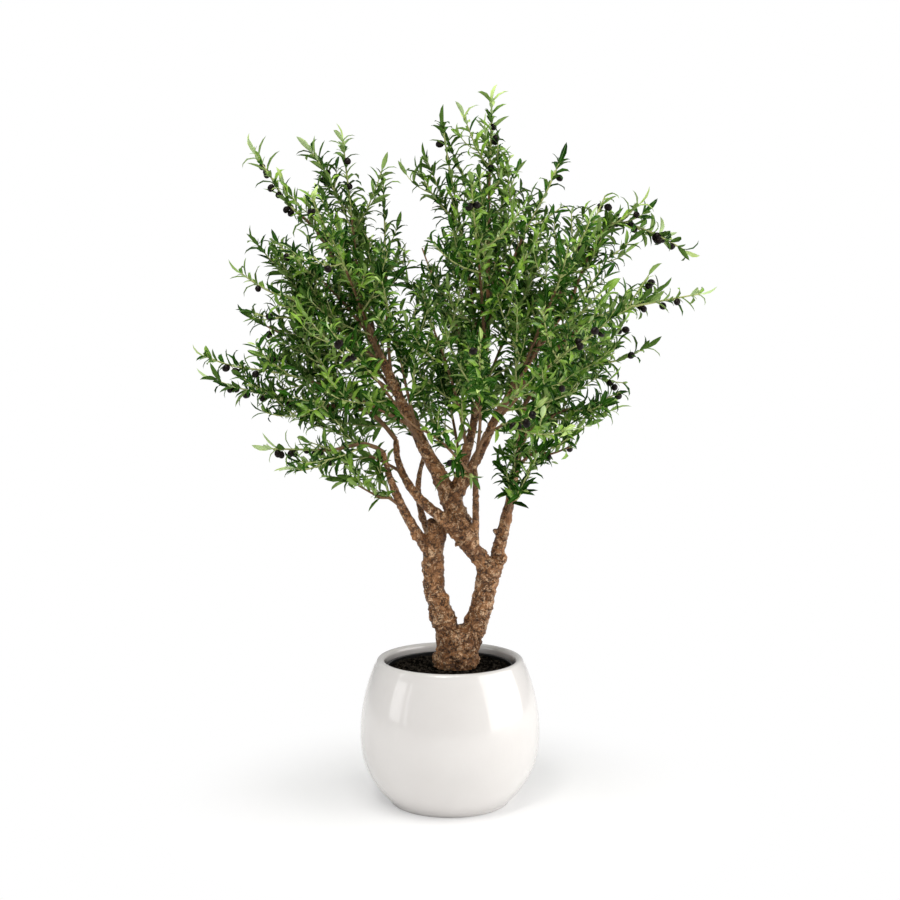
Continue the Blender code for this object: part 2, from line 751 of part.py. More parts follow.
def outer_radius(height):
    """The planter's outer radius at a height: a full belly on a narrower foot, drawn in to the lip."""
    if height < BELLY_HEIGHT:
        share = 1 - height / BELLY_HEIGHT
        return PLANTER_RADIUS - (PLANTER_RADIUS - FOOT_RADIUS) * share**LOWER_ROUNDNESS
    share = (height - BELLY_HEIGHT) / (PLANTER_HEIGHT - BELLY_HEIGHT)
    return PLANTER_RADIUS - SHOULDER_DROP * share**2


def turned_mesh(name, profile, sides):
    """A body turned about Z from a profile of (radius, height), down the outside and up the inside."""
    shape = bmesh.new()
    verts = [shape.verts.new((radius, 0, height)) for radius, height in profile]
    edges = [shape.edges.new(pair) for pair in zip(verts, verts[1:])]
    turn = {"cent": (0, 0, 0), "axis": (0, 0, 1), "angle": 2 * math.pi, "steps": sides}
    bmesh.ops.spin(shape, geom=verts + edges, use_merge=True, **turn)
    bmesh.ops.remove_doubles(shape, verts=shape.verts, dist=1e-5)
    bmesh.ops.recalc_face_normals(shape, faces=shape.faces)
    mesh = bpy.data.meshes.new(name)
    shape.to_mesh(mesh)
    shape.free()
    mesh.shade_smooth()
    return mesh


def planter_profile():
    """From the middle of the underside, out and up the outside, over the lip and down the inside."""
    lip_height = PLANTER_HEIGHT - LIP_ROUND
    lip_centre = OPENING_RADIUS + LIP_ROUND
    outside = [lip_height * i / 8 for i in range(1, 8)]
    lip = [math.radians(a) for a in (20, 65, 115, 180)]
    inner_heights = [0.27, 0.07]
    return (
        [(0, 0), (FOOT_RADIUS, 0)]
        + [(outer_radius(z), z) for z in outside]
        + [(lip_centre + LIP_ROUND * math.cos(a), lip_height + LIP_ROUND * math.sin(a)) for a in lip]
        + [(outer_radius(z) - WALL, z) for z in inner_heights]
        + [(FOOT_RADIUS - WALL, FLOOR_THICK), (0, FLOOR_THICK)]
    )


def liner_profile():
    """A tapered cup that stands on the planter's floor."""
    foot = FLOOR_THICK + GAP
    return [
        (0, foot),
        (LINER_FOOT_RADIUS, foot),
        (LINER_TOP_RADIUS, LINER_TOP),
        (LINER_TOP_RADIUS - LINER_WALL, LINER_TOP),
        (LINER_FOOT_RADIUS - LINER_WALL, foot + LINER_WALL),
        (0, foot + LINER_WALL),
    ]


def soil_profile():
    """The soil that fills the nursery pot, GAP clear of its wall."""
    foot = FLOOR_THICK + LINER_WALL + 2 * GAP
    slope = (LINER_TOP_RADIUS - LINER_FOOT_RADIUS) / (LINER_TOP - FLOOR_THICK - LINER_WALL)
    foot_radius = LINER_FOOT_RADIUS - LINER_WALL - 2 * GAP
    top_radius = foot_radius + slope * (SOIL_TOP - foot)
    return [(0, foot), (foot_radius, foot), (top_radius, SOIL_TOP), (0, SOIL_TOP)]


def build_planter(glaze, plastic, soil):
    add_object("planter", turned_mesh("planter", planter_profile(), PLANTER_SIDES), glaze)
    add_object("nursery_pot", turned_mesh("nursery_pot", liner_profile(), LINER_SIDES), plastic)
    add_object("soil", turned_mesh("soil", soil_profile(), LINER_SIDES), soil)


def main():
    clear_scene()
    glaze = finish_of("white_glaze", (0.86, 0.85, 0.83), 0.12)
    plastic = finish_of("black_plastic", (0.03, 0.03, 0.03), 0.5)
    soil = finish_of("potting_soil", (0.03, 0.022, 0.016), 0.95)
    bark = finish_of("bark", (0.28, 0.18, 0.11), 0.85)
    green = finish_of("foliage", (0.10, 0.20, 0.05), 0.55)
    build_planter(glaze, plastic, soil)
    paths = limb_paths()
    build_limbs(paths, bark)
    build_foliage(paths, green)


main()
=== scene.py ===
"""The looks of a potted olive tree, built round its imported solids.

Metres, +Z up, and the front is -Y. Two barked stems rise from one foot in a glazed planter and carry
boughs. Each mass of foliage is a spray of twigs, narrow leaves and olives that grows on from its limb.
"""

import json
import logging
import math
import random
from dataclasses import dataclass, field
from enum import Enum

import bmesh
import bpy
import numpy as np
from mathutils import Matrix, Vector, noise
from mathutils.kdtree import KDTree

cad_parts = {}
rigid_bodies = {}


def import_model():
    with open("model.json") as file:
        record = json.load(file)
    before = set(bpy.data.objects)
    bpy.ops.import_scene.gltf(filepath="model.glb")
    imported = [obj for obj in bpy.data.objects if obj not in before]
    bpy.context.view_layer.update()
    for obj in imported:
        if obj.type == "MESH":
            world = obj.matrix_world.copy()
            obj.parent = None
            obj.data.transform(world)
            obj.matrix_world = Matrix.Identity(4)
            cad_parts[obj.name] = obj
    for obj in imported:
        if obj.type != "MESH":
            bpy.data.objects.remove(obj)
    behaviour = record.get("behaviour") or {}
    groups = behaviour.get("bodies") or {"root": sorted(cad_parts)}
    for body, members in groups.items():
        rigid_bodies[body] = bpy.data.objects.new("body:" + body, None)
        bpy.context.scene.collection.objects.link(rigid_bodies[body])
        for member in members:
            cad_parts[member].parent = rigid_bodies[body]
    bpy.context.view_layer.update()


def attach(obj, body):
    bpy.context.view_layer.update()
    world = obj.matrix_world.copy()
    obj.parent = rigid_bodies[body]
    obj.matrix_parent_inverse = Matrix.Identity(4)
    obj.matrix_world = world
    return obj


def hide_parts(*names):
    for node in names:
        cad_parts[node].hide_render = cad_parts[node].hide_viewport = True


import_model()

LOG = logging.getLogger("potted_olive")
BODY = "root"
UP = Vector((0, 0, 1))
GOLDEN_ANGLE = math.radians(137.508)
NOISE_SEED = 5  # of the noise vectors, which otherwise differ from run to run
EYE = (0.0, -3.43, 1.141)  # where the object is seen from

Colour = tuple[float, float, float]
Material = bpy.types.Material
Mesh = bpy.types.Mesh
NodeTree = bpy.types.NodeTree
Path = list[Vector]
Shape = bmesh.types.BMesh
Socket = bpy.types.NodeSocket


# Names


class Slot(Enum):
    """The record's material slots."""

    GLAZE = "white_glaze"
    PLASTIC = "black_plastic"
    SOIL = "potting_soil"
    BARK = "bark"
    FOLIAGE = "foliage"


class Tone(Enum):
    """The tones that the leaves of a spray come in."""

    # DEEP is painted shade for sprays in the heart of the crown, and is also dealt out at random
    DEEP = "deep"
    MIDDLE = "middle"
    FRESH = "fresh"
    YOUNG = "young"


class LeafPart(Enum):
    """The parts of a leaf that have their own colour."""

    BLADE = 0
    RIB = 1
    UNDERSIDE = 2


# Pieces


def link(name: str, data: bpy.types.ID) -> bpy.types.Object:
    """Adds an object to the scene.

    Args:
        name: its name.
        data: its mesh, curve, lamp or camera.

    Returns:
        The object.
    """
    obj = bpy.data.objects.new(name, data)
    bpy.context.scene.collection.objects.link(obj)
    return obj


def add_piece(name: str, mesh: Mesh, nodes: list[str], finish: Material | None = None) -> None:
    """Adds a mesh to the object as one piece that stands for some solids.

    Args:
        name: the piece's name.
        mesh: its mesh, in place.
        nodes: the solids that it stands for.
        finish: its material, where the mesh has none yet.
    """
    if finish:
        mesh.materials.clear()
        mesh.materials.append(finish)
    piece = link(name, mesh)
    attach(piece, BODY)
    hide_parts(*nodes)
    mesh.calc_loop_triangles()
    LOG.info("%s: %d triangles", name, len(mesh.loop_triangles))


def mesh_of(name: str, shape: Shape) -> Mesh:
    """Turns a shape that was being worked on into a mesh, and frees it.

    Args:
        name: the mesh's name.
        shape: the shape.

    Returns:
        The mesh.
    """
    mesh = bpy.data.meshes.new(name)
    shape.to_mesh(mesh)
    shape.free()
    return mesh


def plain_mesh(obj: bpy.types.Object, name: str) -> Mesh:
    """Turns an object with its modifiers into a plain mesh, and removes the object.

    Args:
        obj: the object.
        name: the new mesh's name.

    Returns:
        The mesh as the modifiers leave it.
    """
    bpy.context.view_layer.update()
    graph = bpy.context.evaluated_depsgraph_get()
    made = bpy.data.meshes.new_from_object(obj.evaluated_get(graph), depsgraph=graph)
    made.name = name
    obj.modifiers.clear()
    bpy.data.objects.remove(obj)
    return made


def grown_mesh(name: str, data: bpy.types.ID, tree: NodeTree, inputs: dict) -> Mesh:
    """Runs a mesh or a curve through a geometry tree.

    Args:
        name: the new mesh's name.
        data: the mesh or curve.
        tree: the tree.
        inputs: the values of its inputs, by name.

    Returns:
        The mesh that the tree makes.
    """
    holder = link(name, data)
    modifier = holder.modifiers.new("growth", "NODES")
    modifier.node_group = tree
    for item in tree.interface.items_tree:
        if item.name in inputs:
            modifier[item.identifier] = inputs[item.name]
    return plain_mesh(holder, name)


def strewn_mesh(name: str, data: Mesh, tree: NodeTree, shapes: list[Mesh]) -> Mesh:
    """Strews small shapes over a mesh with a geometry tree.

    Args:
        name: the new mesh's name.
        data: the mesh that they are strewn over.
        tree: the tree, whose input Shapes takes the collection of shapes.
        shapes: the kinds of shape, in order.

    Returns:
        The joined mesh.
    """
    group = bpy.data.collections.new(f"{name}_kinds")
    bpy.context.scene.collection.children.link(group)
    kinds = [bpy.data.objects.new(f"{name}_kind_{i:02d}", mesh) for i, mesh in enumerate(shapes)]
    for obj in kinds:
        group.objects.link(obj)
    made = grown_mesh(name, data, tree, {"Shapes": group})
    for obj in kinds:
        bpy.data.objects.remove(obj)
    bpy.data.collections.remove(group)
    return made


def turned_mesh(name: str, profile: list[tuple[float, float]], sides: int) -> Mesh:
    """Turns a profile about Z into a closed body.

    Args:
        name: the mesh's name.
        profile: (radius, height) from the axis, round the outside, to the axis.
        sides: how many steps the turn has.

    Returns:
        The smooth mesh.
    """
    shape = bmesh.new()
    verts = [shape.verts.new((radius, 0, height)) for radius, height in profile]
    edges = [shape.edges.new(pair) for pair in zip(verts, verts[1:])]
    turn = {"cent": (0, 0, 0), "axis": (0, 0, 1), "angle": 2 * math.pi, "steps": sides}
    bmesh.ops.spin(shape, geom=verts + edges, use_merge=True, **turn)
    bmesh.ops.remove_doubles(shape, verts=shape.verts, dist=1e-6)
    bmesh.ops.recalc_face_normals(shape, faces=shape.faces)
    mesh = mesh_of(name, shape)
    mesh.shade_smooth()
    return mesh


# Wiring of node trees


class Wiring:
    """A node tree that is being wired."""

    def __init__(self, tree: NodeTree) -> None:
        """Keeps the tree that nodes are added to."""
        self.tree = tree

    def add(self, kind: str, values: dict | None = None, **settings: object) -> bpy.types.Node:
        """Adds a node.

        Args:
            kind: the node's type.
            values: what each input is set to or linked from, by identifier, name or number.
            settings: the node's own settings.

        Returns:
            The node.
        """
        node = self.tree.nodes.new(kind)
        for name, value in settings.items():
            setattr(node, name, value)
        for key, value in (values or {}).items():
            target = next((s for s in node.inputs if s.identifier == key), None) or node.inputs[key]
            if isinstance(value, Socket):
                self.tree.links.new(value, target)
            else:
                target.default_value = value
        return node

    def place(self) -> Socket:
        """Gives the place on the object."""
        return self.add("ShaderNodeTexCoord").outputs["Object"]

    def number(self, operation: str, *values: object) -> Socket:
        """Works out one number from others."""
        return self.add("ShaderNodeMath", dict(enumerate(values)), operation=operation).outputs[0]

    def arrow(self, operation: str, first: Socket, values: dict) -> Socket:
        """Works out one vector from another."""
        return self.add("ShaderNodeVectorMath", {0: first, **values}, operation=operation).outputs[0]

    def remap(self, value: object, *ends: object, **settings: object) -> Socket:
        """Maps a value from one range to another: both go from 0 to 1 where ends doesn't say."""
        values = dict(zip(("Value", "From Min", "From Max", "To Min", "To Max"), (value, *ends)))
        return self.add("ShaderNodeMapRange", values, **settings).outputs["Result"]

    def blend(self, share: object, first: object, second: object) -> Socket:
        """Mixes two colours."""
        values = {"Factor_Float": share, "A_Color": first, "B_Color": second}
        return self.add("ShaderNodeMix", values, data_type="RGBA").outputs[2]

    def effect(self, group: NodeTree, values: dict) -> Socket:
        """Places a shared effect, with its own values."""
        return self.add("ShaderNodeGroup", values, node_tree=group).outputs[0]

    def read(self, name: str, kind: str) -> Socket:
        """Reads a named attribute of the geometry."""
        values = {"Name": name}
        return self.add("GeometryNodeInputNamedAttribute", values, data_type=kind).outputs["Attribute"]

    def strew(self, points: Socket, shapes: Socket, values: dict) -> Socket:
        """Sets the shapes of a collection on points and makes them real.

        Args:
            points: the points.
            shapes: the collection.
            values: which shape goes where, and its turn and size.

        Returns:
            The geometry.
        """
        kinds = {"Collection": shapes, "Separate Children": True, "Reset Children": True}
        kind = self.add("GeometryNodeCollectionInfo", kinds).outputs[0]
        values = {"Points": points, "Instance": kind, "Pick Instance": True, **values}
        return self.real(self.add("GeometryNodeInstanceOnPoints", values).outputs[0])

    def real(self, geometry: Socket) -> Socket:
        """Makes instances real."""
        return self.add("GeometryNodeRealizeInstances", {"Geometry": geometry}).outputs[0]

    def coat(self, geometry: Socket, material: Material, values: dict) -> Socket:
        """Gives geometry, or the part of it that values selects, its material."""
        values = {"Geometry": geometry, "Material": material, **values}
        return self.add("GeometryNodeSetMaterial", values).outputs[0]


def socket_type(default: object) -> str:
    """Names the type of socket that holds a value; a string names it itself."""
    plain = {float: "Float", int: "Int", str: default}.get(type(default))
    return "NodeSocket" + (plain or ("Color" if len(default) == 4 else "Vector"))


def start_group(name: str, kind: str, inputs: dict, outputs: dict) -> tuple[Wiring, dict]:
    """Starts a node group.

    Args:
        name: its name.
        kind: its type.
        inputs: the default value or the type of each input, by name.
        outputs: the type of each output, by name.

    Returns:
        Its wiring, and the sockets that its inputs come in by.
    """
    wiring = Wiring(bpy.data.node_groups.new(name, kind))
    for way, sockets in (("INPUT", inputs), ("OUTPUT", outputs)):
        for label, default in sockets.items():
            made = wiring.tree.interface.new_socket(label, in_out=way, socket_type=socket_type(default))
            if not isinstance(default, str):
                made.default_value = default
    return wiring, wiring.add("NodeGroupInput").outputs


def mottle_group() -> NodeTree:
    """Builds the group that mixes two colours in soft patches.

    Returns:
        A group from two colours, a scale and a contrast to a colour.
    """
    inputs = {"Low": (0, 0, 0, 1), "High": (1, 1, 1, 1), "Scale": 20.0, "Contrast": 0.2}
    wiring, given = start_group("mottle", "ShaderNodeTree", inputs, {"Color": "Color"})
    values = {"Vector": wiring.place(), "Scale": given["Scale"], "Detail": 4.0, "Roughness": 0.6}
    patches = wiring.add("ShaderNodeTexNoise", values).outputs["Fac"]
    low = wiring.number("SUBTRACT", 0.5, given["Contrast"])
    high = wiring.number("ADD", 0.5, given["Contrast"])
    mixed = wiring.blend(wiring.remap(patches, low, high), given["Low"], given["High"])
    wiring.add("NodeGroupOutput", {"Color": mixed})
    return wiring.tree


def grain_group() -> NodeTree:
    """Builds the group that gives a fine relief.

    Returns:
        A group from a scale and a stretch to a height.
    """
    inputs = {"Scale": 200.0, "Stretch": (1.0, 1.0, 1.0)}
    wiring, given = start_group("grain", "ShaderNodeTree", inputs, {"Height": "Float"})
    pulled = wiring.arrow("MULTIPLY", wiring.place(), {1: given["Stretch"]})
    values = {"Vector": pulled, "Scale": given["Scale"], "Detail": 5.0, "Roughness": 0.62}
    wiring.add("NodeGroupOutput", {"Height": wiring.add("ShaderNodeTexNoise", values).outputs["Fac"]})
    return wiring.tree


def crack_group() -> NodeTree:
    """Builds the group that gives a net of wandering cracks.

    Returns:
        A group that puts out a mask: 0 in a crack and 1 beside it.
    """
    inputs = {
        "Scale": 100.0, "Stretch": (1.0, 1.0, 1.0), "Wander": 0.016, "Wander Scale": 130.0,
        "Narrowest": 0.001, "Widest": 0.19, "Width Scale": 70.0,
    }
    wiring, given = start_group("cracks", "ShaderNodeTree", inputs, {"Mask": "Float"})
    place = wiring.place()
    bend = wiring.add("ShaderNodeTexNoise", {"Vector": place, "Scale": given["Wander Scale"], "Detail": 2.0})
    spread = wiring.arrow("SCALE", bend.outputs["Color"], {"Scale": given["Wander"]})
    pulled = wiring.arrow("MULTIPLY", wiring.arrow("ADD", place, {1: spread}), {1: given["Stretch"]})
    values = {"Vector": pulled, "Scale": given["Scale"]}
    net = wiring.add("ShaderNodeTexVoronoi", values, feature="DISTANCE_TO_EDGE").outputs["Distance"]
    values = {"Vector": place, "Scale": given["Width Scale"], "Detail": 2.0}
    broken = wiring.add("ShaderNodeTexNoise", values).outputs["Fac"]
    width = wiring.remap(broken, 0.37, 0.58, given["Narrowest"], given["Widest"])
    wiring.add("NodeGroupOutput", {"Mask": wiring.remap(net, 0.0, width)})
    return wiring.tree


class Effects:
    """The effects that several finishes share, each a node group built once."""

    def __init__(self) -> None:
        """Builds the groups."""
        self.mottle = mottle_group()
        self.grain = grain_group()
        self.cracks = crack_group()


# Finishes


@dataclass(frozen=True)
class Finish:
    """A finish with soft patches of two colours and a fine relief."""

    name: str
    low: Colour
    high: Colour
    patch: float = 20.0  # patches per metre
    contrast: float = 0.2
    roughness: float = 0.5
    specular: float = 0.5
    grain: float = 300.0  # grains per metre
    stretch: Colour = (1.0, 1.0, 1.0)
    depth: float = 0.0002  # height of the relief
    coat: float = 0.0
    coat_roughness: float = 0.03

    def material(self, effects: Effects) -> Material:
        """Makes the finish's material.

        Args:
            effects: the shared node groups.

        Returns:
            The material.
        """
        material = bpy.data.materials.new(self.name)
        material.use_nodes = True
        wiring = Wiring(material.node_tree)
        shader = material.node_tree.nodes["Principled BSDF"]
        shader.inputs["Roughness"].default_value = self.roughness
        shader.inputs["Specular IOR Level"].default_value = self.specular
        shader.inputs["Coat Weight"].default_value = self.coat
        shader.inputs["Coat Roughness"].default_value = self.coat_roughness
        wiring.tree.links.new(self.colour(wiring, effects), shader.inputs["Base Color"])
        relief = {"Height": self.height(wiring, effects), "Distance": self.depth, "Strength": 1.0}
        wiring.tree.links.new(wiring.add("ShaderNodeBump", relief).outputs[0], shader.inputs["Normal"])
        return material

    def height(self, wiring: Wiring, effects: Effects) -> Socket:
        """Wires the finish's fine relief."""
        values = {"Scale": self.grain, "Stretch": self.stretch}
        return wiring.effect(effects.grain, values)

    def colour(self, wiring: Wiring, effects: Effects) -> Socket:
        """Wires the finish's colour."""
        ends = {"Low": (*self.low, 1), "High": (*self.high, 1)}
        values = {**ends, "Scale": self.patch, "Contrast": self.contrast}
        return wiring.effect(effects.mottle, values)


@dataclass(frozen=True)
class BarkFinish(Finish):
    """Bark: patches of colour, black cracks, painted shade in the pits and painted highlights on the ridges.
    """

    # painted shade in the pits of the bark
    shaded_pit: Colour = (0.056, 0.021, 0.006)
    crack: Colour = (0.022, 0.009, 0.003)
    # painted highlight on the ridges of the bark
    ridge_highlight: Colour = (0.78, 0.52, 0.31)
    relief: str = "relief"  # the mesh's own attribute of painted light: 0 in the pits, 1 on the ridges
    shaded_pit_ends: tuple = (0.05, 0.62)  # painted light at which the painted pit shade is full, and at which it is gone
    ridge_highlight_ends: tuple = (0.82, 1.08)  # painted light at which the painted ridge highlight starts, and at which it is full
    crack_scale: float = 115.0
    crack_stretch: Colour = (0.7, 0.7, 1.55)
    crack_depth: float = 0.55
    fleck_scale: float = 330.0
    flecks: float = 1.5  # how much the flecks shift the painted light

    def cracked(self, wiring: Wiring, effects: Effects) -> Socket:
        """Wires the bark's cracks: 0 in a crack, 1 beside it."""
        values = {"Scale": self.crack_scale, "Stretch": self.crack_stretch}
        return wiring.effect(effects.cracks, values)

    def height(self, wiring: Wiring, effects: Effects) -> Socket:
        """Wires the bark's fine relief."""
        grain = super().height(wiring, effects)
        return wiring.number("MULTIPLY_ADD", self.cracked(wiring, effects), self.crack_depth, grain)

    def colour(self, wiring: Wiring, effects: Effects) -> Socket:
        """Wires the bark's colour, with painted shade in its pits and painted highlights on its ridges.

        Args:
            wiring: the material's tree.
            effects: the shared node groups.

        Returns:
            The socket that carries the colour.
        """
        plain = super().colour(wiring, effects)
        # the painted light that the mesh carries as its attribute named relief
        relief = wiring.add("ShaderNodeAttribute", attribute_name=self.relief).outputs["Fac"]
        fine = wiring.effect(effects.grain, {"Scale": self.fleck_scale})
        flecked_painted_light = wiring.number("MULTIPLY_ADD", wiring.number("ADD", fine, -0.5), self.flecks, relief)
        pit_shaded = wiring.blend(wiring.remap(flecked_painted_light, *self.shaded_pit_ends), (*self.shaded_pit, 1), plain)
        cracked = wiring.blend(self.cracked(wiring, effects), (*self.crack, 1), pit_shaded)
        return wiring.blend(wiring.remap(flecked_painted_light, *self.ridge_highlight_ends), cracked, (*self.ridge_highlight, 1))


GLAZE = Finish(
    "off_white_glaze", (0.68, 0.655, 0.638), (0.725, 0.704, 0.688), patch=5.0, contrast=0.3,
    roughness=0.22, grain=13.0, stretch=(1.0, 1.0, 0.4), depth=0.0008, coat=1.0, coat_roughness=0.03,
)
PLASTIC = Finish(
    "black_moulded_plastic", (0.012, 0.012, 0.013), (0.026, 0.026, 0.026), roughness=0.42, grain=900.0,
    depth=0.00008,
)
SOIL = Finish(
    "dark_potting_soil", (0.0004, 0.0003, 0.0002), (0.005, 0.0038, 0.0026), patch=120.0, contrast=0.1,
    roughness=1.0, specular=0.0, grain=500.0, depth=0.002,
)
CRUMB = Finish(
    "soil_crumb", (0.0006, 0.0005, 0.0003), (0.04, 0.033, 0.025), patch=95.0, contrast=0.09,
    roughness=0.95, specular=0.05, grain=700.0, depth=0.0008,
)
BARK = BarkFinish(
    "wrinkled_bark", (0.2, 0.078, 0.022), (0.45, 0.21, 0.08), patch=34.0, contrast=0.16,
    roughness=0.38, specular=0.5, grain=420.0, depth=0.0036,
)
BRANCHLET = Finish(
    "brown_branchlet", (0.11, 0.052, 0.02), (0.25, 0.135, 0.06), patch=90.0, roughness=0.7, grain=700.0,
    depth=0.0004,
)
SHOOT = Finish(
    "straw_green_shoot", (0.28, 0.33, 0.09), (0.54, 0.56, 0.23), patch=60.0, roughness=0.55, grain=700.0,
    depth=0.0001,
)
OLIVE = Finish(
    "near_black_olive", (0.002, 0.0015, 0.0012), (0.012, 0.006, 0.005), patch=90.0, roughness=0.36,
    specular=0.14, grain=900.0, depth=0.00006,
)
# Each tone's blade low and high, rib and underside. The deep tone is painted shade inside the crown and the
# middle one lighter towards its outline; both are also dealt out at random.
LEAF_COLOURS = {
    Tone.DEEP: ((0.002, 0.02, 0.0003), (0.024, 0.096, 0.004), (0.056, 0.14, 0.016), (0.098, 0.195, 0.034)),
    Tone.MIDDLE: ((0.038, 0.124, 0.002), (0.232, 0.412, 0.032), (0.28, 0.43, 0.08), (0.3, 0.45, 0.13)),
    Tone.FRESH: ((0.105, 0.25, 0.004), (0.28, 0.465, 0.032), (0.36, 0.52, 0.11), (0.31, 0.47, 0.13)),
    Tone.YOUNG: ((0.29, 0.41, 0.085), (0.53, 0.69, 0.22), (0.61, 0.77, 0.33), (0.55, 0.71, 0.34)),
}


def leaf_finishes(tone: Tone) -> list[Finish]:
    """Gives the finishes of a leaf's parts.

    Args:
        tone: the tone of its spray.

    Returns:
        The finishes of its blade, rib and underside.
    """
    low, high, rib, under = LEAF_COLOURS[tone]
    # the blades of the deep tone, which is painted shade, also have almost no sheen
    blade = Finish(
        f"{tone.value}_leaf_blade", low, high, patch=26.0, contrast=0.12, roughness=0.38,
        specular=0.04 if tone == Tone.DEEP else 0.38, grain=520.0, depth=0.00018,
    )
    line = Finish(f"{tone.value}_leaf_rib", rib, rib, roughness=0.5, grain=520.0, depth=0.00008)
    pale = Finish(
        f"{tone.value}_leaf_underside", tuple(c * 0.8 for c in under), under, patch=30.0,
        roughness=0.62, specular=0.06, grain=520.0, depth=0.00018,
    )
    return [blade, line, pale]


# Paths


def bowed_path(start: Vector, end: Vector, bow: tuple, count: int) -> Path:
    """Gives the curve from start to end whose middle lies off the straight line.

    Args:
        start: its first point.
        end: its last point.
        bow: how far its middle lies off the straight line.
        count: how many steps it has.

    Returns:
        Its points.
    """
    control = (start + end) / 2 + 2 * Vector(bow)
    shares = [i / count for i in range(count + 1)]
    return [start * (1 - f) ** 2 + control * (2 * f * (1 - f)) + end * f**2 for f in shares]


def along(path: Path, share: float) -> Vector:
    """Gives the point at a share of a path of even steps.

    Args:
        path: the path.
        share: 0 at its start, 1 at its end.

    Returns:
        The point.
    """
    place = min(max(share, 0), 1) * (len(path) - 1)
    i = min(int(place), len(path) - 2)
    return path[i].lerp(path[i + 1], place - i)


def directions(path: Path) -> Path:
    """Gives a path's direction at each of its points."""
    last = len(path) - 1
    return [(path[min(i + 1, last)] - path[max(i - 1, 0)]).normalized() for i in range(last + 1)]


def way_at(path: Path, share: float) -> Vector:
    """Gives a path's direction at a share of its length."""
    return directions(path)[round(share * (len(path) - 1))]


def path_length(path: Path) -> float:
    """Adds up a path's steps."""
    return sum((b - a).length for a, b in zip(path, path[1:]))


def any_side(way: Vector) -> Vector:
    """Gives a direction square to another."""
    other = Vector((1, 0, 0)) if abs(way.x) < 0.7 else Vector((0, 1, 0))
    return (other - way * other.dot(way)).normalized()


def turned_side(way: Vector, angle: float) -> Vector:
    """Gives a direction square to way, turned about it."""
    return Matrix.Rotation(angle, 3, way) @ any_side(way)


def tilted(way: Vector, side: Vector, angle: float) -> Vector:
    """Gives a direction tilted from way towards side."""
    return way * math.cos(angle) + side * math.sin(angle)


def between(ends: tuple, share: float) -> float:
    """Gives the value at a share of the way from one end to the other."""
    return ends[0] + (ends[1] - ends[0]) * share


def smooth_path(path: Path, step: float) -> Path:
    """Rounds a path with a curve through its points.

    Args:
        path: the path.
        step: the length of the new steps.

    Returns:
        The points of the rounded path.
    """
    found = []
    for i in range(len(path) - 1):
        before, a, b = path[max(i - 1, 0)], path[i], path[i + 1]
        after = path[min(i + 2, len(path) - 1)]
        count = max(1, round((b - a).length / step))
        for f in (k / count for k in range(count)):
            even = (b - before) * (0.5 * f)
            square = (before * 2 - a * 5 + b * 4 - after) * (0.5 * f * f)
            cube = (a * 3 - before - b * 3 + after) * (0.5 * f**3)
            found.append(a + even + square + cube)
    return found + [path[-1].copy()]


# Limbs


@dataclass(frozen=True)
class Limb:
    """One tapering limb: from a place on its parent to a point, through a bowed middle."""

    name: str
    parent: str
    at: float  # share of the parent's length where it leaves
    to: tuple  # where it ends
    bow: tuple = (0, 0, 0)  # how far its middle lies off the straight line
    thick: float = 0.006  # radius where it leaves
    thin: float = 0.0035  # radius at its tip
    off: tuple = (0, 0, 0)  # how far its start lies off the parent's middle line


@dataclass(frozen=True)
class Stub:
    """A short dead stub or a burl on a limb."""

    limb: str
    at: float  # share of the limb's length
    way: tuple  # the direction in which it stands out
    length: float
    thick: float


@dataclass(frozen=True)
class Ring:
    """One level ring of the trunk."""

    height: float  # above the trunk's foot
    middle: float
    half_width: float
    half_depth: float


LIMBS = (
    Limb(
        "left_stem", "trunk", 0.52, (-0.024, 0.012, 0.638), (-0.028, -0.004, 0.01),
        0.0262, 0.0215, (-0.014, 0, 0),
    ),
    Limb(
        "right_stem", "trunk", 0.5, (0.09, -0.008, 0.541), (0.005, 0, -0.006),
        0.025, 0.0245, (0.019, 0, 0),
    ),
    Limb("cross_limb", "right_stem", 0.95, (-0.018, -0.028, 0.65), (0, 0, 0.004), 0.02, 0.0152),
    Limb(
        "central_stem", "cross_limb", 0.5, (-0.006, 0, 0.708), (0.001, 0, 0),
        0.0245, 0.0212, (0.004, 0, 0),
    ),
    Limb(
        "left_leader", "central_stem", 0.95, (-0.216, 0.028, 1.15), (-0.004, 0.012, -0.01),
        0.0168, 0.0066,
    ),
    Limb(
        "right_leader", "central_stem", 0.88, (0.107, -0.06, 0.893), (0.003, 0, 0),
        0.0138, 0.0085, (0.014, -0.006, 0),
    ),
    Limb(
        "centre_leader", "central_stem", 0.92, (0.084, 0.005, 1.19), (0.024, 0.022, 0),
        0.0115, 0.0048, (0.01, 0.008, 0),
    ),
    Limb("front_rise", "cross_limb", 0.3, (0.054, -0.085, 0.775), (0.002, 0.012, 0), 0.0088, 0.0052),
    Limb(
        "right_bough", "right_stem", 0.92, (0.168, 0.048, 0.895), (0.008, 0.008, 0),
        0.016, 0.0055, (0.01, 0.004, 0),
    ),
    Limb(
        "left_outer_bough", "left_stem", 0.73, (-0.147, -0.06, 0.8), (-0.015, 0, 0),
        0.0142, 0.0058, (-0.009, 0, 0),
    ),
    Limb("left_inner_bough", "cross_limb", 0.98, (-0.121, 0.008, 0.822), (-0.028, 0, -0.006), 0.0125, 0.0062),
    Limb(
        "left_rear_bough", "left_stem", 0.84, (-0.06, 0.07, 0.775), (-0.02, 0, 0),
        0.0088, 0.005, (-0.01, 0.008, 0),
    ),
    Limb("right_arm", "right_leader", 0.72, (0.262, -0.01, 1.12), (0, 0.01, 0.012), 0.0068, 0.0046),
)

TRUNK_RINGS = (
    Ring(0.0, 0.012, 0.0475, 0.041),
    Ring(0.021, 0.0155, 0.046, 0.04),
    Ring(0.043, 0.0195, 0.0485, 0.04),
    Ring(0.064, 0.02, 0.05, 0.0385),
    Ring(0.086, 0.019, 0.0545, 0.0365),
    Ring(0.107, 0.018, 0.0605, 0.034),
)

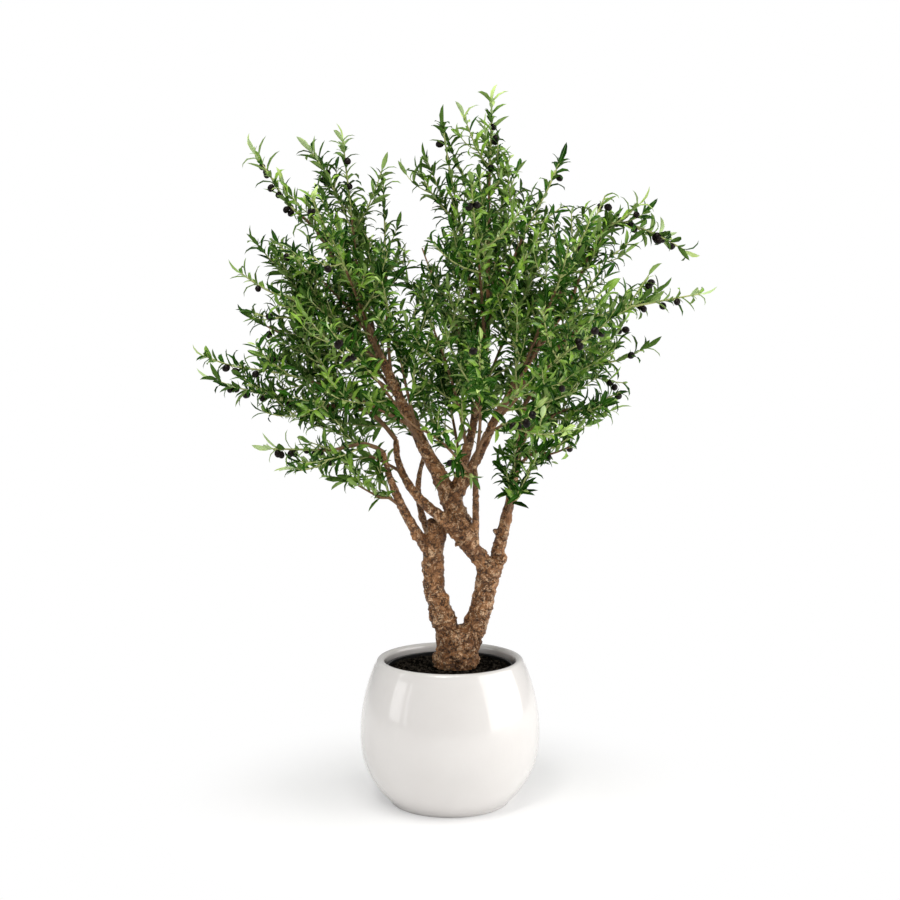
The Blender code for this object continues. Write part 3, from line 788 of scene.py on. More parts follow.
STUBS = (
    Stub("right_bough", 0.08, (1.0, -0.5, -0.1), 0.011, 0.0125),
    Stub("right_bough", 0.21, (-1.0, -0.25, 0.75), 0.016, 0.0058),
    Stub("right_bough", 0.3, (0.9, -0.3, 0.3), 0.006, 0.008),
    Stub("left_stem", 0.95, (-0.75, -0.75, 0.15), 0.012, 0.0135),
    Stub("left_stem", 0.7, (-1.0, -0.4, -0.1), 0.003, 0.012),
    Stub("left_outer_bough", 0.16, (-1.0, -0.1, -0.2), 0.007, 0.0105),
    Stub("cross_limb", 0.42, (-0.2, -1.0, -0.45), 0.008, 0.011),
    Stub("cross_limb", 0.86, (-0.2, -1.0, 0.1), 0.008, 0.012),
    Stub("right_stem", 0.55, (-1.0, -0.6, 0.2), 0.002, 0.011),
    Stub("right_stem", 0.74, (0.8, 0.8, 0.0), 0.01, 0.012),
    Stub("left_leader", 0.16, (1.0, -0.5, 0.2), 0.006, 0.008),
    Stub("central_stem", 0.55, (0.7, -0.7, 0.0), 0.006, 0.012),
    Stub("left_inner_bough", 0.3, (-0.8, -0.6, -0.3), 0.005, 0.0075),
)


@dataclass
class Skeleton:
    """The middle lines and radii of the trunk and its limbs, as the solids have them."""

    trunk_foot: float = 0.3043
    trunk_y: float = 0.002
    limb_step: float = 0.075
    collar: float = 0.16
    collar_fade: float = 9.0
    paths: dict[str, Path] = field(default_factory=dict)
    limbs: dict[str, Limb] = field(default_factory=dict)

    def __post_init__(self) -> None:
        """Works out each limb's path from its parent's."""
        self.paths["trunk"] = [
            Vector((ring.middle, self.trunk_y, self.trunk_foot + ring.height)) for ring in TRUNK_RINGS
        ]
        for limb in LIMBS:
            start = along(self.paths[limb.parent], limb.at) + Vector(limb.off)
            end = Vector(limb.to)
            steps = max(4, round((end - start).length / self.limb_step))
            self.paths[limb.name] = bowed_path(start, end, limb.bow, steps)
            self.limbs[limb.name] = limb

    def radius(self, limb: Limb, share: float) -> float:
        """Gives a limb's radius at a share of its length."""
        plain = limb.thick + (limb.thin - limb.thick) * share**0.85
        return plain + self.collar * limb.thick * math.exp(-self.collar_fade * share)

    def wood_tree(self) -> tuple[KDTree, list[float]]:
        """Gathers places in the wood, to tell what lies inside it.

        Returns:
            A tree of points along every limb, and the radius at each.
        """
        places = [(point, ring.half_width) for point, ring in zip(self.paths["trunk"], TRUNK_RINGS)]
        for name, limb in self.limbs.items():
            path = smooth_path(self.paths[name], 0.006)
            for i, point in enumerate(path):
                places.append((point, self.radius(limb, i / (len(path) - 1))))
        tree = KDTree(len(places))
        for i, (point, _) in enumerate(places):
            tree.insert(point, i)
        tree.balance()
        return tree, [radius for _, radius in places]


# Bark


@dataclass
class Wood:
    """The trunk, stems and boughs as one barked body with burls, wrinkles and pits."""

    skeleton: Skeleton
    effects: Effects
    voxel: float = 0.0022
    sides: int = 28
    step: float = 0.006
    smoothing: int = 5
    crown_cut: float = 0.094  # height at which the trunk's own body closes between the stems
    saddle: tuple = (0.019, 0.002, 0.3925)  # the wood that rounds the fork
    saddle_radius: float = 0.0125
    foot_burls: int = 9
    burl: float = 0.0135  # radius of a burl at the foot
    lump: float = 0.004  # height of the lumps on the thickest wood
    lump_scale: float = 30.0  # lumps per metre
    knob: float = 0.0085  # height of the sharpest knobs
    knob_scale: float = 78.0
    wrinkle: float = 0.0042
    wrinkle_scale: float = 62.0
    swirl: float = 0.02  # how far the wrinkles are pulled out of line
    pit: float = 0.0028
    pit_scale: float = 85.0

    def tube(self, shape: Shape, path: Path, radii: list, depths: list | None = None) -> None:
        """Adds a closed tube to a mesh.

        Args:
            shape: the mesh.
            path: the tube's middle line.
            radii: its radius at each point.
            depths: its half size front to back at each point, where that differs.
        """
        ways = [UP] * len(path) if depths else directions(path)
        side = any_side(ways[0])
        rings = []
        for centre, way, radius, depth in zip(path, ways, radii, depths or radii):
            side = (side - way * side.dot(way)).normalized()
            other = way.cross(side)
            turns = [2 * math.pi * k / self.sides for k in range(self.sides)]
            spots = [centre + side * (radius * math.cos(t)) + other * (depth * math.sin(t)) for t in turns]
            rings.append([shape.verts.new(spot) for spot in spots])
        for low, high in zip(rings, rings[1:]):
            for k in range(self.sides):
                n = (k + 1) % self.sides
                shape.faces.new((low[k], low[n], high[n], high[k]))
        shape.faces.new(reversed(rings[0]))
        shape.faces.new(rings[-1])

    def rough_body(self) -> bpy.types.Object:
        """Makes every tube and stub of the wood, overlapping in one mesh.

        Returns:
            The object that holds them.
        """
        shape = bmesh.new()
        rise = np.linspace(0, self.crown_cut, 24)
        heights = [ring.height for ring in TRUNK_RINGS]
        middles = np.interp(rise, heights, [ring.middle for ring in TRUNK_RINGS])
        widths = np.interp(rise, heights, [ring.half_width for ring in TRUNK_RINGS])
        depths = np.interp(rise, heights, [ring.half_depth for ring in TRUNK_RINGS])
        foot = self.skeleton.trunk_foot
        path = [Vector((x, self.skeleton.trunk_y, foot + z)) for x, z in zip(middles, rise)]
        closing = np.sqrt(np.clip((self.crown_cut - rise) / 0.018, 0.04, 1))
        self.tube(shape, path, list(widths * (0.4 + 0.6 * closing)), list(depths * (0.3 + 0.7 * closing)))
        self.add_foot_burls(shape)
        for name, limb in self.skeleton.limbs.items():
            path = smooth_path(self.skeleton.paths[name], self.step)
            shares = [i / (len(path) - 1) for i in range(len(path))]
            self.tube(shape, path, [self.skeleton.radius(limb, share) for share in shares])
        for stub in STUBS:
            self.add_stub(shape, stub)
        return link("wood", mesh_of("wood", shape))

    def add_foot_burls(self, shape: Shape) -> None:
        """Adds the burls that swell round the trunk's foot.

        Args:
            shape: the mesh to add them to.
        """
        chance = random.Random("foot burls")
        ring = TRUNK_RINGS[0]
        for k in range(self.foot_burls):
            turn = 2 * math.pi * (k + chance.uniform(-0.3, 0.3)) / self.foot_burls
            size = self.burl * chance.uniform(0.75, 1.2)
            middle = Vector(
                (
                    ring.middle + (ring.half_width - size * 0.55) * math.cos(turn),
                    self.skeleton.trunk_y + (ring.half_depth - size * 0.55) * math.sin(turn),
                    self.skeleton.trunk_foot + chance.uniform(0.004, 0.03),
                )
            )
            place = Matrix.Translation(middle) @ Matrix.Diagonal((1, 1, chance.uniform(0.8, 1.5), 1))
            bmesh.ops.create_icosphere(shape, subdivisions=3, radius=size, matrix=place)
        saddle = Matrix.Translation(self.saddle) @ Matrix.Diagonal((1.5, 1.3, 1, 1))
        bmesh.ops.create_icosphere(shape, subdivisions=3, radius=self.saddle_radius, matrix=saddle)

    def add_stub(self, shape: Shape, stub: Stub) -> None:
        """Adds one stub, which swells and then closes at its end.

        Args:
            shape: the mesh to add it to.
            stub: its sizes.
        """
        path = self.skeleton.paths[stub.limb]
        limb = self.skeleton.limbs[stub.limb]
        start = along(path, stub.at)
        way = Vector(stub.way).normalized()
        reach = self.skeleton.radius(limb, stub.at) * 0.75 + stub.length
        shares = (0.0, 0.35, 0.6, 0.8, 0.93, 1.0)
        girths = (1.1, 1.05, 1.0, 0.95, 0.72, 0.3)
        spots = [start + way * (reach * share) for share in shares]
        self.tube(shape, spots, [stub.thick * girth for girth in girths])

    def merged(self) -> Mesh:
        """Melts the overlapping tubes into one even skin.

        Returns:
            The mesh of the whole wood, before its relief.
        """
        obj = self.rough_body()
        melt = obj.modifiers.new("melt", "REMESH")
        melt.mode = "VOXEL"
        melt.voxel_size = self.voxel
        ease = obj.modifiers.new("ease", "SMOOTH")
        ease.factor = 0.5
        ease.iterations = self.smoothing
        return plain_mesh(obj, "barked_wood")

    def relief_at(self, spot: Vector) -> tuple[float, float]:
        """Gives the bark's relief at a place, with the painted light that goes with it.

        Args:
            spot: the place.

        Returns:
            How far the surface stands out there, in shares of a wrinkle's height, and its painted light:
            lighter where the bark stands out, darker in its pits.
        """
        bend = noise.noise_vector(spot * 38.0) * self.swirl + noise.noise_vector(spot * 90.0) * 0.004
        pulled = spot + bend
        pulled.z *= 0.62
        pillows = min(1.0, abs(noise.noise(pulled * self.wrinkle_scale)) * 3.0) ** 0.6
        ripples = min(1.0, abs(noise.noise(pulled * (self.wrinkle_scale * 2.2))) * 3.0) ** 0.7
        nearest = noise.voronoi(pulled * self.pit_scale)[0][0]
        shaded_pit = max(0.0, 1 - nearest * 3.4) * max(0.0, min(1.0, noise.noise(spot * 30.0) * 2.2 + 0.55))
        height = 0.85 * pillows + 0.35 * ripples - 0.7 * shaded_pit * (self.pit / self.wrinkle)
        # painted light: lighter on the pillows and ripples, darker in the pits
        light = 0.2 + 0.44 * pillows + 0.34 * ripples - 0.38 * shaded_pit
        return height, light

    def carve(self, mesh: Mesh) -> None:
        """Raises the bark's relief on the skin, and keeps its painted light as an attribute for its colour.

        Args:
            mesh: the skin.
        """
        tree, radii = self.skeleton.wood_tree()
        foot = self.skeleton.trunk_foot
        count = len(mesh.vertices)
        spots, normals = np.zeros(count * 3), np.zeros(count * 3)
        mesh.vertices.foreach_get("co", spots)
        mesh.vertices.foreach_get("normal", normals)
        carved, light = [], np.zeros(count, np.float32)
        for i, (spot, normal) in enumerate(zip(spots.reshape(-1, 3), normals.reshape(-1, 3))):
            spot = Vector(spot)
            _, nearest, _ = tree.find(spot)
            girth = min(1.0, radii[nearest] / 0.024)
            height, light[i] = self.relief_at(spot)
            lump = noise.noise(spot * self.lump_scale) + 0.5 * noise.noise(spot * (self.lump_scale * 2.2))
            knobs = max(0.0, noise.noise(spot * self.knob_scale) - 0.16)
            rise = (self.lump * lump + self.knob * knobs) * girth
            rise += self.wrinkle * (height - 0.75) * girth**0.7
            keep = min(1.0, max(0.0, (spot.z - foot) / 0.004))
            spot += Vector(normal) * rise * (0.35 + 0.65 * keep)
            carved.append((spot.x, spot.y, max(spot.z, foot - 0.002)))
        mesh.vertices.foreach_set("co", np.array(carved, np.float32).ravel())
        # the painted light, kept as the attribute named relief: darker in the pits, lighter on the ridges
        attribute = mesh.attributes.new("relief", "FLOAT", "POINT")
        attribute.data.foreach_set("value", np.clip(light, 0, 1))

    def build(self) -> None:
        """Builds the barked body."""
        mesh = self.merged()
        self.carve(mesh)
        mesh.shade_smooth()
        nodes = ["trunk", *self.skeleton.limbs]
        add_piece("barked_stems_and_boughs", mesh, nodes, BARK.material(self.effects))


# Foliage


@dataclass(frozen=True)
class Mass:
    """One mass of foliage: a spray from a limb to its furthest tip, with shoots to all sides."""

    name: str
    limb: str
    at: float  # share of the limb's length where it starts: 1 is the limb's tip
    tip: tuple  # the furthest leaf tip
    spread: float  # length of its longest side shoots
    shoots: int = 6
    fruit: int = 1
    arch: float = 0.015  # how far the middle of its stem is lifted
    via: tuple = ()  # the points through which its real stem goes, where that differs


UPPER_LEFT = (
    (-0.251, 0.028, 1.211), (-0.296, 0.03, 1.286), (-0.358, 0.03, 1.343),
    (-0.396, 0.03, 1.402), (-0.432, 0.03, 1.455),
)
RIGHT_ARCH = (
    (0.311, 0.0, 1.238), (0.357, 0.005, 1.3), (0.415, 0.01, 1.292),
    (0.484, 0.015, 1.261), (0.52, 0.02, 1.241),
)
FAR_RIGHT = (
    (0.268, -0.07, 1.06), (0.358, -0.065, 1.108), (0.434, -0.06, 1.125),
    (0.502, -0.06, 1.138), (0.543, -0.06, 1.145),
)
MASSES = (
    Mass("lower_left", "left_outer_bough", 1, (-0.435, -0.09, 0.812), 0.17, 5, 1, -0.01),
    Mass("low_tuft", "left_outer_bough", 0.42, (-0.235, -0.1, 0.75), 0.08, 2, 0, 0.01),
    Mass("left_low", "left_inner_bough", 1, (-0.565, 0.01, 0.968), 0.19, 7, 1, -0.01),
    Mass("left_mid", "left_leader", 0.34, (-0.567, -0.11, 1.026), 0.17, 6, 1, 0.02),
    Mass("left_shoulder", "left_leader", 0.5, (-0.48, 0.12, 1.105), 0.17, 8, 1),
    Mass("left_high", "left_leader", 0.64, (-0.495, -0.03, 1.215), 0.17, 7, 1, 0.02),
    Mass("left_flank", "left_leader", 0.78, (-0.4, -0.1, 1.285), 0.13, 6, 1),
    Mass("upper_left", "left_leader", 1, (-0.452, 0.03, 1.487), 0.12, 4, 2, via=UPPER_LEFT),
    Mass("left_crest", "left_leader", 0.88, (-0.24, 0.0, 1.525), 0.14, 5, 1),
    Mass("inner_left", "left_leader", 0.58, (-0.15, 0.04, 1.435), 0.13, 5, 0, 0.0),
    Mass("front_left", "left_leader", 0.24, (-0.25, -0.43, 1.1), 0.18, 5, 1),
    Mass("front_left_high", "left_leader", 0.68, (-0.29, -0.32, 1.37), 0.16, 4, 1),
    Mass("rear_left", "left_leader", 0.42, (-0.37, 0.42, 1.19), 0.19, 5, 1),
    Mass("rear_left_low", "left_rear_bough", 1, (-0.24, 0.38, 0.93), 0.18, 4, 0),
    Mass("rear_left_high", "left_leader", 0.73, (-0.25, 0.34, 1.39), 0.16, 4, 1),
    Mass("crown_left", "centre_leader", 0.52, (-0.022, -0.03, 1.549), 0.14, 5, 1),
    Mass("summit", "centre_leader", 1, (0.092, 0.0, 1.608), 0.14, 7, 1),
    Mass("right_top", "centre_leader", 0.76, (0.256, -0.02, 1.47), 0.14, 5, 1),
    Mass("heart", "centre_leader", 0.2, (-0.07, -0.2, 1.19), 0.16, 7, 0),
    Mass("front_centre", "right_leader", 0.44, (0.06, -0.45, 1.08), 0.18, 5, 1),
    Mass("front_high", "centre_leader", 0.62, (0.04, -0.31, 1.4), 0.16, 5, 1),
    Mass("rear_centre", "centre_leader", 0.3, (0.03, 0.47, 1.13), 0.18, 5, 1),
    Mass("rear_high", "centre_leader", 0.66, (0.13, 0.33, 1.41), 0.16, 4, 1),
    Mass("rear_heart", "centre_leader", 0.44, (-0.08, 0.25, 1.29), 0.13, 3, 0),
    Mass("right_crest", "right_arm", 0.55, (0.356, -0.04, 1.4), 0.15, 6, 1),
    Mass("right_inner", "centre_leader", 0.36, (0.235, 0.1, 1.29), 0.15, 7, 0),
    Mass("right_arch", "right_arm", 1, (0.544, 0.02, 1.256), 0.065, 4, 2, 0.13, RIGHT_ARCH),
    Mass("far_right", "right_leader", 1, (0.578, -0.06, 1.175), 0.15, 6, 2, 0.055, FAR_RIGHT),
    Mass("right_mid", "right_bough", 1, (0.481, 0.06, 1.044), 0.17, 6, 1),
    Mass("right_low", "right_bough", 0.8, (0.412, -0.05, 0.95), 0.14, 5, 1),
    Mass("lower_right", "right_bough", 0.62, (0.325, 0.0, 0.83), 0.13, 4, 1, 0.02),
    Mass("right_foot", "right_bough", 0.34, (0.165, -0.16, 0.745), 0.08, 3, 0, 0.01),
    Mass("front_right", "right_leader", 0.8, (0.34, -0.39, 1.12), 0.18, 5, 1),
    Mass("front_right_high", "right_arm", 0.32, (0.3, -0.27, 1.33), 0.15, 4, 1),
    Mass("front_right_low", "front_rise", 1, (0.19, -0.4, 0.94), 0.18, 5, 1),
    Mass("rear_right", "right_bough", 0.9, (0.39, 0.39, 1.13), 0.18, 5, 1),
    Mass("rear_right_low", "right_bough", 0.7, (0.25, 0.34, 0.88), 0.16, 4, 1),
    Mass("rear_right_high", "right_leader", 0.52, (0.33, 0.26, 1.3), 0.15, 4, 1),
    Mass("front_low", "front_rise", 0.8, (-0.12, -0.37, 0.93), 0.17, 5, 1),
    Mass("left_heart", "left_leader", 0.3, (-0.15, -0.22, 1.21), 0.15, 7, 0),
    Mass("heart_low", "centre_leader", 0.1, (-0.04, 0.12, 1.07), 0.15, 6, 0),
    Mass("left_skirt", "left_inner_bough", 0.6, (-0.32, 0.1, 0.8), 0.13, 4, 0),
)
MASS_NAMES = [mass.name for mass in MASSES]


@dataclass
class Twig:
    """One twig of a spray."""

    path: Path
    thick: float
    thin: float
    order: int  # 0 is a mass's stem, 1 its side shoot, 2 a fine twig
    tone: Tone
    bare: float  # length without leaves at its foot
    parent: "Twig | None" = None
    rooted: float = 0.0  # length of its parent up to where it leaves it
    needed: float = 0.0  # length up to which it has leaves or carries another twig

    def radius(self, share: float) -> float:
        """Gives its radius at a share of its length."""
        return self.thick + (self.thin - self.thick) * share**0.8

    def inner(self, share: float) -> "Twig":
        """Gives the part of it up to a share of its length."""
        last = max(1, round(share * (len(self.path) - 1)))
        return Twig(self.path[: last + 1], self.thick, self.radius(share), self.order, self.tone, 0)

    def outer(self, share: float) -> "Twig":
        """Gives the part of it from a share of its length."""
        first = round(share * (len(self.path) - 1))
        return Twig(self.path[first:], self.radius(share), self.thin, self.order, self.tone, 0)


@dataclass(frozen=True)
class Plume:
    """A shoot of a mass that fills a place of its own, such as a tip clear of the crown's outline."""

    mass: str
    at: float  # share of the mass's stem where it leaves
    tip: tuple


PLUMES = (
    Plume("left_crest", 0.45, (-0.326, 0.02, 1.497)),
    Plume("left_flank", 0.6, (-0.373, -0.06, 1.29)),
    Plume("crown_left", 0.42, (-0.066, 0.01, 1.48)),
    Plume("left_high", 0.35, (-0.454, -0.02, 1.286)),
    Plume("front_low", 0.1, (-0.024, -0.14, 0.79)),
    Plume("front_low", 0.06, (-0.052, -0.11, 0.742)),
    Plume("front_low", 0.14, (0.018, -0.15, 0.812)),
    Plume("front_low", 0.04, (0.04, -0.13, 0.765)),
    Plume("right_foot", 0.3, (0.108, -0.11, 0.8)),
    Plume("right_foot", 0.35, (0.205, -0.12, 0.83)),
    Plume("right_foot", 0.25, (0.14, -0.13, 0.862)),
)


@dataclass
class Sprays:
    """The rule by which twigs grow: the source's stems and side shoots, carried on to finer twigs."""

    skeleton: Skeleton
    tones: "ToneRule"
    reach: float = 0.11  # the solids' last leaf is this long
    end_leaf: float = 0.046  # the real one
    stem_step: float = 0.11
    stem_keeps: float = 0.3
    branch_thick: float = 0.0044
    limb_lead: float = 0.35
    stem_thin: float = 0.0016
    shoot_thick: float = 0.0022
    shoot_thin: float = 0.0012
    lift: float = 0.25  # how much a shoot's end turns up
    fine_spacing: tuple = (0.046, 0.078)  # in the heart of the crown and at its outline
    fine_length: tuple = (0.045, 0.095)
    fine_lift: float = 0.45
    fine_thick: float = 0.0015
    fine_thin: float = 0.0009
    fine_bare: float = 0.008
    shoot_bare: float = 0.012
    stem_bare: float = 0.26  # share of a stem without leaves
    own_tone: float = 0.6  # share of fine twigs that have a tone of their own
    shoot_lean: tuple = (38, 56)  # degrees from the stem's direction
    fine_lean: tuple = (34, 52)
    shoots_from: float = 0.1  # share of a stem's length where its side shoots begin
    shoots_over: float = 0.66  # share over which they are spread
    path_step: float = 0.018

    def start_of(self, mass: Mass) -> tuple[Vector, Vector, float]:
        """Finds where a mass's stem starts.

        Args:
            mass: the mass.

        Returns:
            Its start, first direction and radius.
        """
        path = self.skeleton.paths[mass.limb]
        if mass.at == 1:
            way = directions(path)[-1]
            return path[-1], way, self.skeleton.limbs[mass.limb].thin * 0.92
        start = along(path, mass.at)
        outward = (Vector(mass.tip) - start).normalized()
        return start, (outward + way_at(path, mass.at) * self.limb_lead).normalized(), self.branch_thick

    def stem_of(self, mass: Mass) -> tuple[Path, float]:
        """Gives a mass's stem, which leaves the limb and arches to the tip.

        Args:
            mass: the mass.

        Returns:
            Its path, up to where the solids' last leaf starts, and its radius at the start.
        """
        start, way, radius = self.start_of(mass)
        tip = Vector(mass.tip)
        end = tip - (tip - start).normalized() * self.reach
        span = (end - start).length
        steps = max(3, round(span / self.stem_step))
        first = start + way * (self.stem_keeps * span)
        second = start.lerp(end, 0.66) + UP * (2 * mass.arch)
        found = []
        for i in range(steps + 1):
            f = i / steps
            g = 1 - f
            found.append(start * g**3 + first * (3 * g * g * f) + second * (3 * g * f * f) + end * f**3)
        return found, radius

    def shoot_share(self, mass: Mass, k: int) -> float:
        """Gives the share of a stem's length at which its side shoot k leaves it."""
        return self.shoots_from + self.shoots_over * (k + 0.5) / mass.shoots

    def side_shoots(self, mass: Mass, stem: Path) -> list[Path]:
        """Gives the shoots that leave a stem, each leaning out and then bending forward and up.

        Args:
            mass: the mass.
            stem: its stem.

        Returns:
            Their paths.
        """
        chance = random.Random(mass.name)
        phase = chance.uniform(0, 2 * math.pi)
        found = []
        for k in range(mass.shoots):
            share = self.shoot_share(mass, k)
            start, way = along(stem, share), way_at(stem, share)
            side = turned_side(way, phase + GOLDEN_ANGLE * k)
            out = tilted(way, side, math.radians(chance.uniform(*self.shoot_lean)))
            length = mass.spread * (1.12 - 0.68 * share) * chance.uniform(0.85, 1.1)
            end = start + (out + way * 0.16 + UP * 0.1).normalized() * length
            middle = (start + end) / 2 + (start + out * (length * 0.5) - (start + end) / 2) * 0.5
            found.append([start, middle, end])
        return found

    def carried_on(self, path: Path, share: float = 1.0) -> Path:
        """Carries a path on to where the real last leaf starts, bending up a little.

        Args:
            path: the path up to where the solids' last leaf starts.
            share: how much of the way on it goes.

        Returns:
            The rounded longer path.
        """
        way = (directions(path)[-1] + UP * self.lift).normalized()
        more = (self.reach - self.end_leaf) * share
        return smooth_path(path + [path[-1] + way * more], self.path_step)

    def full_stem(self, mass: Mass, path: Path) -> Path:
        """Carries a mass's stem on to the leaf at its tip.

        Args:
            mass: the mass.
            path: its stem up to where the solids' last leaf starts.

        Returns:
            The rounded longer path.
        """
        if mass.via:
            return smooth_path([path[0], *map(Vector, mass.via)], self.path_step)
        tip = Vector(mass.tip)
        return smooth_path(path + [tip - (tip - path[0]).normalized() * self.end_leaf], self.path_step)

    def fine_twigs(self, parent: Twig, first: float, last: float, chance: random.Random) -> list[Twig]:
        """Grows fine twigs along a shoot or the middle part of a stem.

        Args:
            parent: the twig that carries them.
            first: the share of its length where they begin.
            last: the share where they stop.
            chance: the mass's own chance.

        Returns:
            The fine twigs.
        """
        length = path_length(parent.path)
        out = min(1.0, self.tones.outness(along(parent.path, 0.5)))
        spacing = between(self.fine_spacing, out**2)
        count = int(length * (last - first) / spacing)
        turn = chance.uniform(0, 2 * math.pi)
        found = []
        for k in range(count):
            share = first + (last - first) * (k + chance.uniform(0.25, 0.75)) / count
            way = way_at(parent.path, share)
            side = turned_side(way, turn + GOLDEN_ANGLE * k)
            out = tilted(way, side, math.radians(chance.uniform(*self.fine_lean))).normalized()
            size = chance.uniform(*self.fine_length) * (1.15 - 0.5 * share)
            start = along(parent.path, share)
            end = start + (out + way * 0.25 + UP * self.fine_lift).normalized() * size
            path = bowed_path(start, end, tuple((out - UP * 0.5) * (0.1 * size)), 5)
            tone = self.tones(path, chance, fine=True) if chance.random() < self.own_tone else parent.tone
            girths = (self.fine_thick, self.fine_thin)
            found.append(Twig(path, *girths, 2, tone, self.fine_bare, parent, share * length))
        return found

    def plume(self, stem: Twig, given: Plume, chance: random.Random) -> list[Twig]:
        """Grows a shoot that fills a place of its own.

        Args:
            stem: the mass's stem.
            given: where it leaves the stem and ends.
            chance: the mass's own chance.

        Returns:
            The shoot and its fine twigs.
        """
        start = along(stem.path, given.at)
        tip = Vector(given.tip)
        end = tip - (tip - start).normalized() * self.end_leaf
        steps = max(5, round((end - start).length / self.path_step))
        path = bowed_path(start, end, tuple(way_at(stem.path, given.at) * 0.02), steps)
        tone = self.tones(path, chance)
        rooted = given.at * path_length(stem.path)
        shoot = Twig(path, self.shoot_thick, self.shoot_thin, 1, tone, self.shoot_bare, stem, rooted)
        return [shoot, *self.fine_twigs(shoot, 0.12, 0.6, chance)]

    def grow(self) -> list[Twig]:
        """Grows every mass.

        Returns:
            All twigs.
        """
        found = []
        for mass in MASSES:
            chance = random.Random(f"twigs of {mass.name}")
            coarse, radius = self.stem_of(mass)
            path = self.full_stem(mass, coarse)
            bare = self.stem_bare * path_length(coarse)
            stem = Twig(path, radius, self.stem_thin, 0, self.tones(path, chance), bare)
            found.append(stem)
            found += self.fine_twigs(stem, 0.3, 0.7, chance)
            bearer = path if mass.via else coarse
            for k, shoot in enumerate(self.side_shoots(mass, bearer)):
                path = self.carried_on(shoot, chance.uniform(0.55, 1.05))
                tone = self.tones(path, chance)
                rooted = self.shoot_share(mass, k) * path_length(bearer)
                twig = Twig(path, self.shoot_thick, self.shoot_thin, 1, tone, self.shoot_bare, stem, rooted)
                found.append(twig)
                found += self.fine_twigs(twig, 0.14, 0.78, chance)
            for given in PLUMES:
                if given.mass == mass.name:
                    found += self.plume(stem, given, chance)
        return found


CLEARINGS = (  # x, z and radius of each opening between the sprays, where the sky shows from the front
    (-0.404, 1.325, 0.044), (-0.324, 1.403, 0.024), (-0.346, 1.272, 0.019), (-0.286, 1.233, 0.014),
    (-0.171, 1.292, 0.014), (-0.104, 1.376, 0.025), (-0.08, 1.282, 0.023), (-0.072, 1.246, 0.016),
    (-0.033, 1.235, 0.013), (-0.031, 1.461, 0.019), (0.155, 1.461, 0.017), (0.164, 1.407, 0.012),
    (0.311, 1.398, 0.044), (0.264, 1.376, 0.026), (0.231, 1.361, 0.017), (0.404, 1.19, 0.016),
    (0.43, 1.222, 0.026), (0.488, 1.215, 0.024), (0.415, 1.092, 0.019), (0.462, 1.1, 0.014),
    (0.384, 1.021, 0.014), (0.426, 0.973, 0.036), (0.337, 0.805, 0.049), (0.249, 0.786, 0.017),
    (0.249, 0.715, 0.053), (0.195, 0.679, 0.027), (0.009, 0.862, 0.019), (-0.011, 0.793, 0.017),
    (0.1, 1.01, 0.014), (-0.158, 0.955, 0.011), (-0.093, 0.962, 0.011), (-0.031, 1.066, 0.009),
    (0.135, 0.877, 0.012), (-0.18, 0.803, 0.013), (-0.08, 0.785, 0.013), (-0.428, 1.147, 0.018),
    (-0.413, 1.07, 0.013), (-0.446, 1.059, 0.012), (-0.504, 0.968, 0.016), (-0.377, 0.859, 0.016),
    (-0.317, 0.828, 0.011), (-0.322, 0.693, 0.058), (-0.218, 0.693, 0.031),
)


@dataclass(frozen=True)
class BareStretch:
    """A stretch of a limb that the foliage in front leaves in sight."""

    limb: str
    first: float
    last: float
    width: float


BARE_STRETCHES = (
    BareStretch("left_leader", 0.13, 0.66, 0.019),
    BareStretch("right_leader", 0.4, 0.85, 0.015),
    BareStretch("central_stem", 0.0, 1.0, 0.024),
    BareStretch("left_inner_bough", 0.0, 0.48, 0.014),
    BareStretch("left_outer_bough", 0.0, 0.62, 0.014),
    BareStretch("right_bough", 0.0, 0.4, 0.016),
    BareStretch("centre_leader", 0.15, 0.45, 0.009),
    BareStretch("cross_limb", 0.0, 1.0, 0.03),
)


@dataclass
class OpenView:
    """Tells what would fill an opening or hide a bare limb, seen from the front."""

    skeleton: Skeleton
    least_kept: float = 0.4  # share of a twig below which a piece that is left isn't kept
    slack: float = 0.004  # how far beyond its parent's cut end a twig may start
    eye: Vector = field(default_factory=lambda: Vector(EYE))
    bare: list[tuple] = field(default_factory=list)

    def __post_init__(self) -> None:
        """Works out where the bare stretches are seen."""
        for stretch in BARE_STRETCHES:
            path = smooth_path(self.skeleton.paths[stretch.limb], 0.012)
            last = len(path) - 1
            for point in path[int(stretch.first * last) : int(stretch.last * last) + 1]:
                self.bare.append((self.seen(point), point.y, stretch.width))

    def seen(self, point: Vector) -> Vector:
        """Gives where a point is seen on the upright plane through the trunk."""
        share = -self.eye.y / (point.y - self.eye.y)
        return self.eye + (point - self.eye) * share

    def in_clearing(self, point: Vector) -> bool:
        """Tells whether a point is seen in an opening."""
        spot = self.seen(point)
        return any(math.hypot(spot.x - x, spot.z - z) < radius for x, z, radius in CLEARINGS)

    def keeps(self, twig: Twig) -> bool:
        """Cuts a twig off where it enters an opening, or where its parent has been cut off.

        Args:
            twig: the twig.

        Returns:
            Whether enough of it stays.
        """
        if twig.order == 0:
            return True
        floats = twig.rooted > path_length(twig.parent.path) + self.slack
        if floats or (twig.order == 2 and self.blocks(along(twig.path, 0.6))):
            return False
        for i, point in enumerate(twig.path[2:], 2):
            if self.blocks(point):
                kept = i >= max(3, self.least_kept * len(twig.path))
                twig.path = twig.path[: i if kept else 1]
                return kept
        return True

    def blocks(self, point: Vector) -> bool:
        """Tells whether something at a point would close an opening.

        Args:
            point: the point.

        Returns:
            Whether it lies in an opening, or in front of a bare limb.
        """
        if self.in_clearing(point):
            return True
        spot = self.seen(point)
        return any(point.y < y and (spot - place).length < width for place, y, width in self.bare)


@dataclass(frozen=True)
class TonePlace:
    """A place at the crown's front whose sprays have a tone of their own."""

    x: float
    z: float
    radius: float
    tone: Tone = Tone.FRESH


